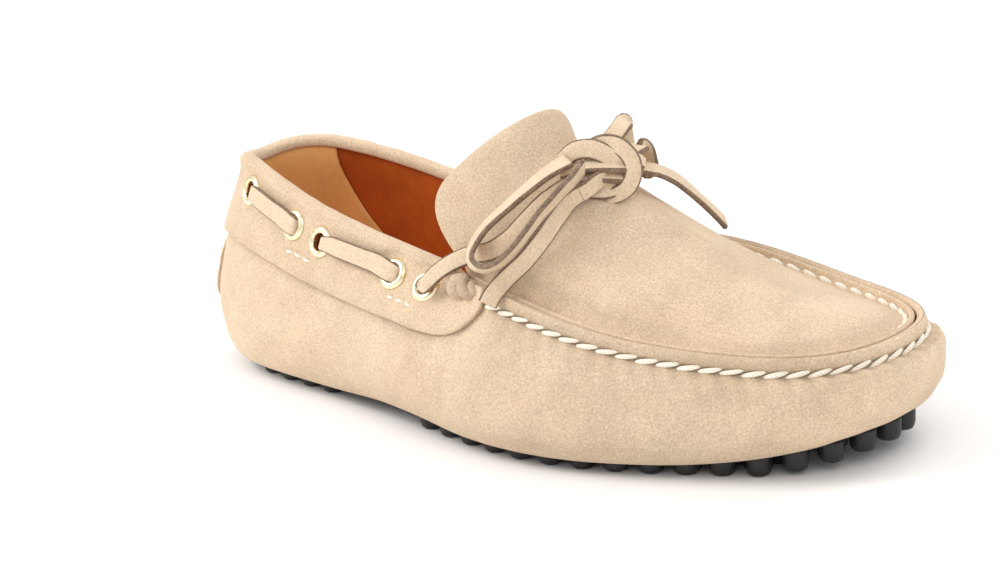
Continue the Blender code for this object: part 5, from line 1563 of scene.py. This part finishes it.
# ---------------------------------------------------------------- rubber sheet and its pebbles
edge = ring(MARGIN - 1.0, 240)
core = np.stack([edge[:, 0].clip(24.0, 250.0), np.interp(edge[:, 0].clip(24.0, 250.0), [20, 60, 100, 150, 200, 250], [-0.5, -1.0, -3.5, -6.0, -3.5, 3.0])], 1)
shares = np.concatenate([np.linspace(0.02, 0.9, 16), [0.95, 0.98, 1.0]])
P = np.zeros((240, len(shares), 3))
for j, f in enumerate(shares):
    q = core + (edge - core) * f
    P[:, j, :2] = q
    P[:, j, 2] = bottom(q[:, 0]) - 0.35
N = grid_normals(P, closed=True)
if N[:, 8, 2].mean() > 0:
    P = P[::-1].copy()
    N = grid_normals(P, closed=True)
verts, faces, _ = shell(P, N, 0.0, PLATE_T, closed=True)
parts = [(verts, faces, np.zeros((len(verts), 2)))]
for c in pebble_centres():
    top = float(bottom(c[0]))
    tall = top - (0.15 if top < 6.5 else max(0.15, (top - 6.5) * 0.92))
    low = top - tall
    low = max(low, 0.1)
    r0, r1 = PEBBLE_D / 2, PEBBLE_TIP_D / 2
    prof = [(r0, top + 0.2), (r0, top - 0.6), (r0 * 0.985, low + (top - low) * 0.62), (r0 * 0.97, low + (top - low) * 0.34), (r1 * 0.985, low + (top - low) * 0.14), (r1 * 0.86, low + (top - low) * 0.04), (r1 * 0.5, low + 0.04), (0.0, low)]
    turn = 20
    ang = np.linspace(0, 2 * math.pi, turn, endpoint=False)
    v = []
    for r, z in prof[:-1]:
        v += [(c[0] + r * math.cos(a), c[1] + r * math.sin(a), z) for a in ang]
    v.append((c[0], c[1], prof[-1][1]))
    v = np.array(v)
    f = []
    for i in range(len(prof) - 2):
        for j in range(turn):
            k = (j + 1) % turn
            f.append((i * turn + j, (i + 1) * turn + j, (i + 1) * turn + k, i * turn + k))
    last = (len(prof) - 2) * turn
    for j in range(turn):
        f.append((last + j, len(v) - 1, last + (j + 1) % turn))
    f.append(tuple(range(turn)))
    parts.append((v, f, np.zeros((len(v), 2))))
verts, faces, _ = join(parts)
sole = piece("rubber_sole", verts, faces, [RUBBER])
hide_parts("outsole")

# ---------------------------------------------------------------- floor, light, look
floor_mat, nt, b = nodes_of("paper_white")
nt.links.new(tint(nt, (0.955, 0.955, 0.955), (0.975, 0.975, 0.975), spread(nt, noise(nt, coords(nt), 3.0), 0.3, 0.7, 0.0, 1.0)), b.inputs["Base Color"])
b.inputs["Roughness"].default_value = 0.9
b.inputs["Specular IOR Level"].default_value = 0.1
mesh = bpy.data.meshes.new("floor")
mesh.from_pydata([(-8, -8, 0), (8, -8, 0), (8, 8, 0), (-8, 8, 0)], [], [(0, 1, 2, 3)])
mesh.materials.append(floor_mat)
floor = bpy.data.objects.new("floor", mesh)
bpy.context.scene.collection.objects.link(floor)

world = bpy.data.worlds.new("studio")
world.use_nodes = True
world.node_tree.nodes["Background"].inputs["Color"].default_value = (1.0, 1.0, 1.0, 1.0)
world.node_tree.nodes["Background"].inputs["Strength"].default_value = 0.80
bpy.context.scene.world = world


def light(name, where, target, size, watts, colour=(1.0, 1.0, 1.0)):
    data = bpy.data.lights.new(name, "AREA")
    data.shape = "DISK"
    data.size = size
    data.energy = watts
    data.color = colour
    ob = bpy.data.objects.new(name, data)
    bpy.context.scene.collection.objects.link(ob)
    z = np.array(where, float) - np.array(target, float)
    z /= np.linalg.norm(z)
    x = np.cross([0.0, 0.0, 1.0], z)
    x /= np.linalg.norm(x)
    y = np.cross(z, x)
    mm = np.eye(4)
    mm[:3, 0], mm[:3, 1], mm[:3, 2], mm[:3, 3] = x, y, z, where
    ob.matrix_world = Matrix([list(r) for r in mm])
    return ob


light("key", (-0.80, -0.75, 0.95), (0.0, 0.0, 0.03), 0.8, 9.8)
light("fill", (0.9, -0.8, 1.1), (0.0, 0.0, 0.03), 1.0, 3.4)
light("rim", (0.3, 0.8, 1.0), (0.0, 0.0, 0.05), 0.8, 5.0)
view = bpy.context.scene.view_settings
view.view_transform = "Standard"
view.exposure = 0.0
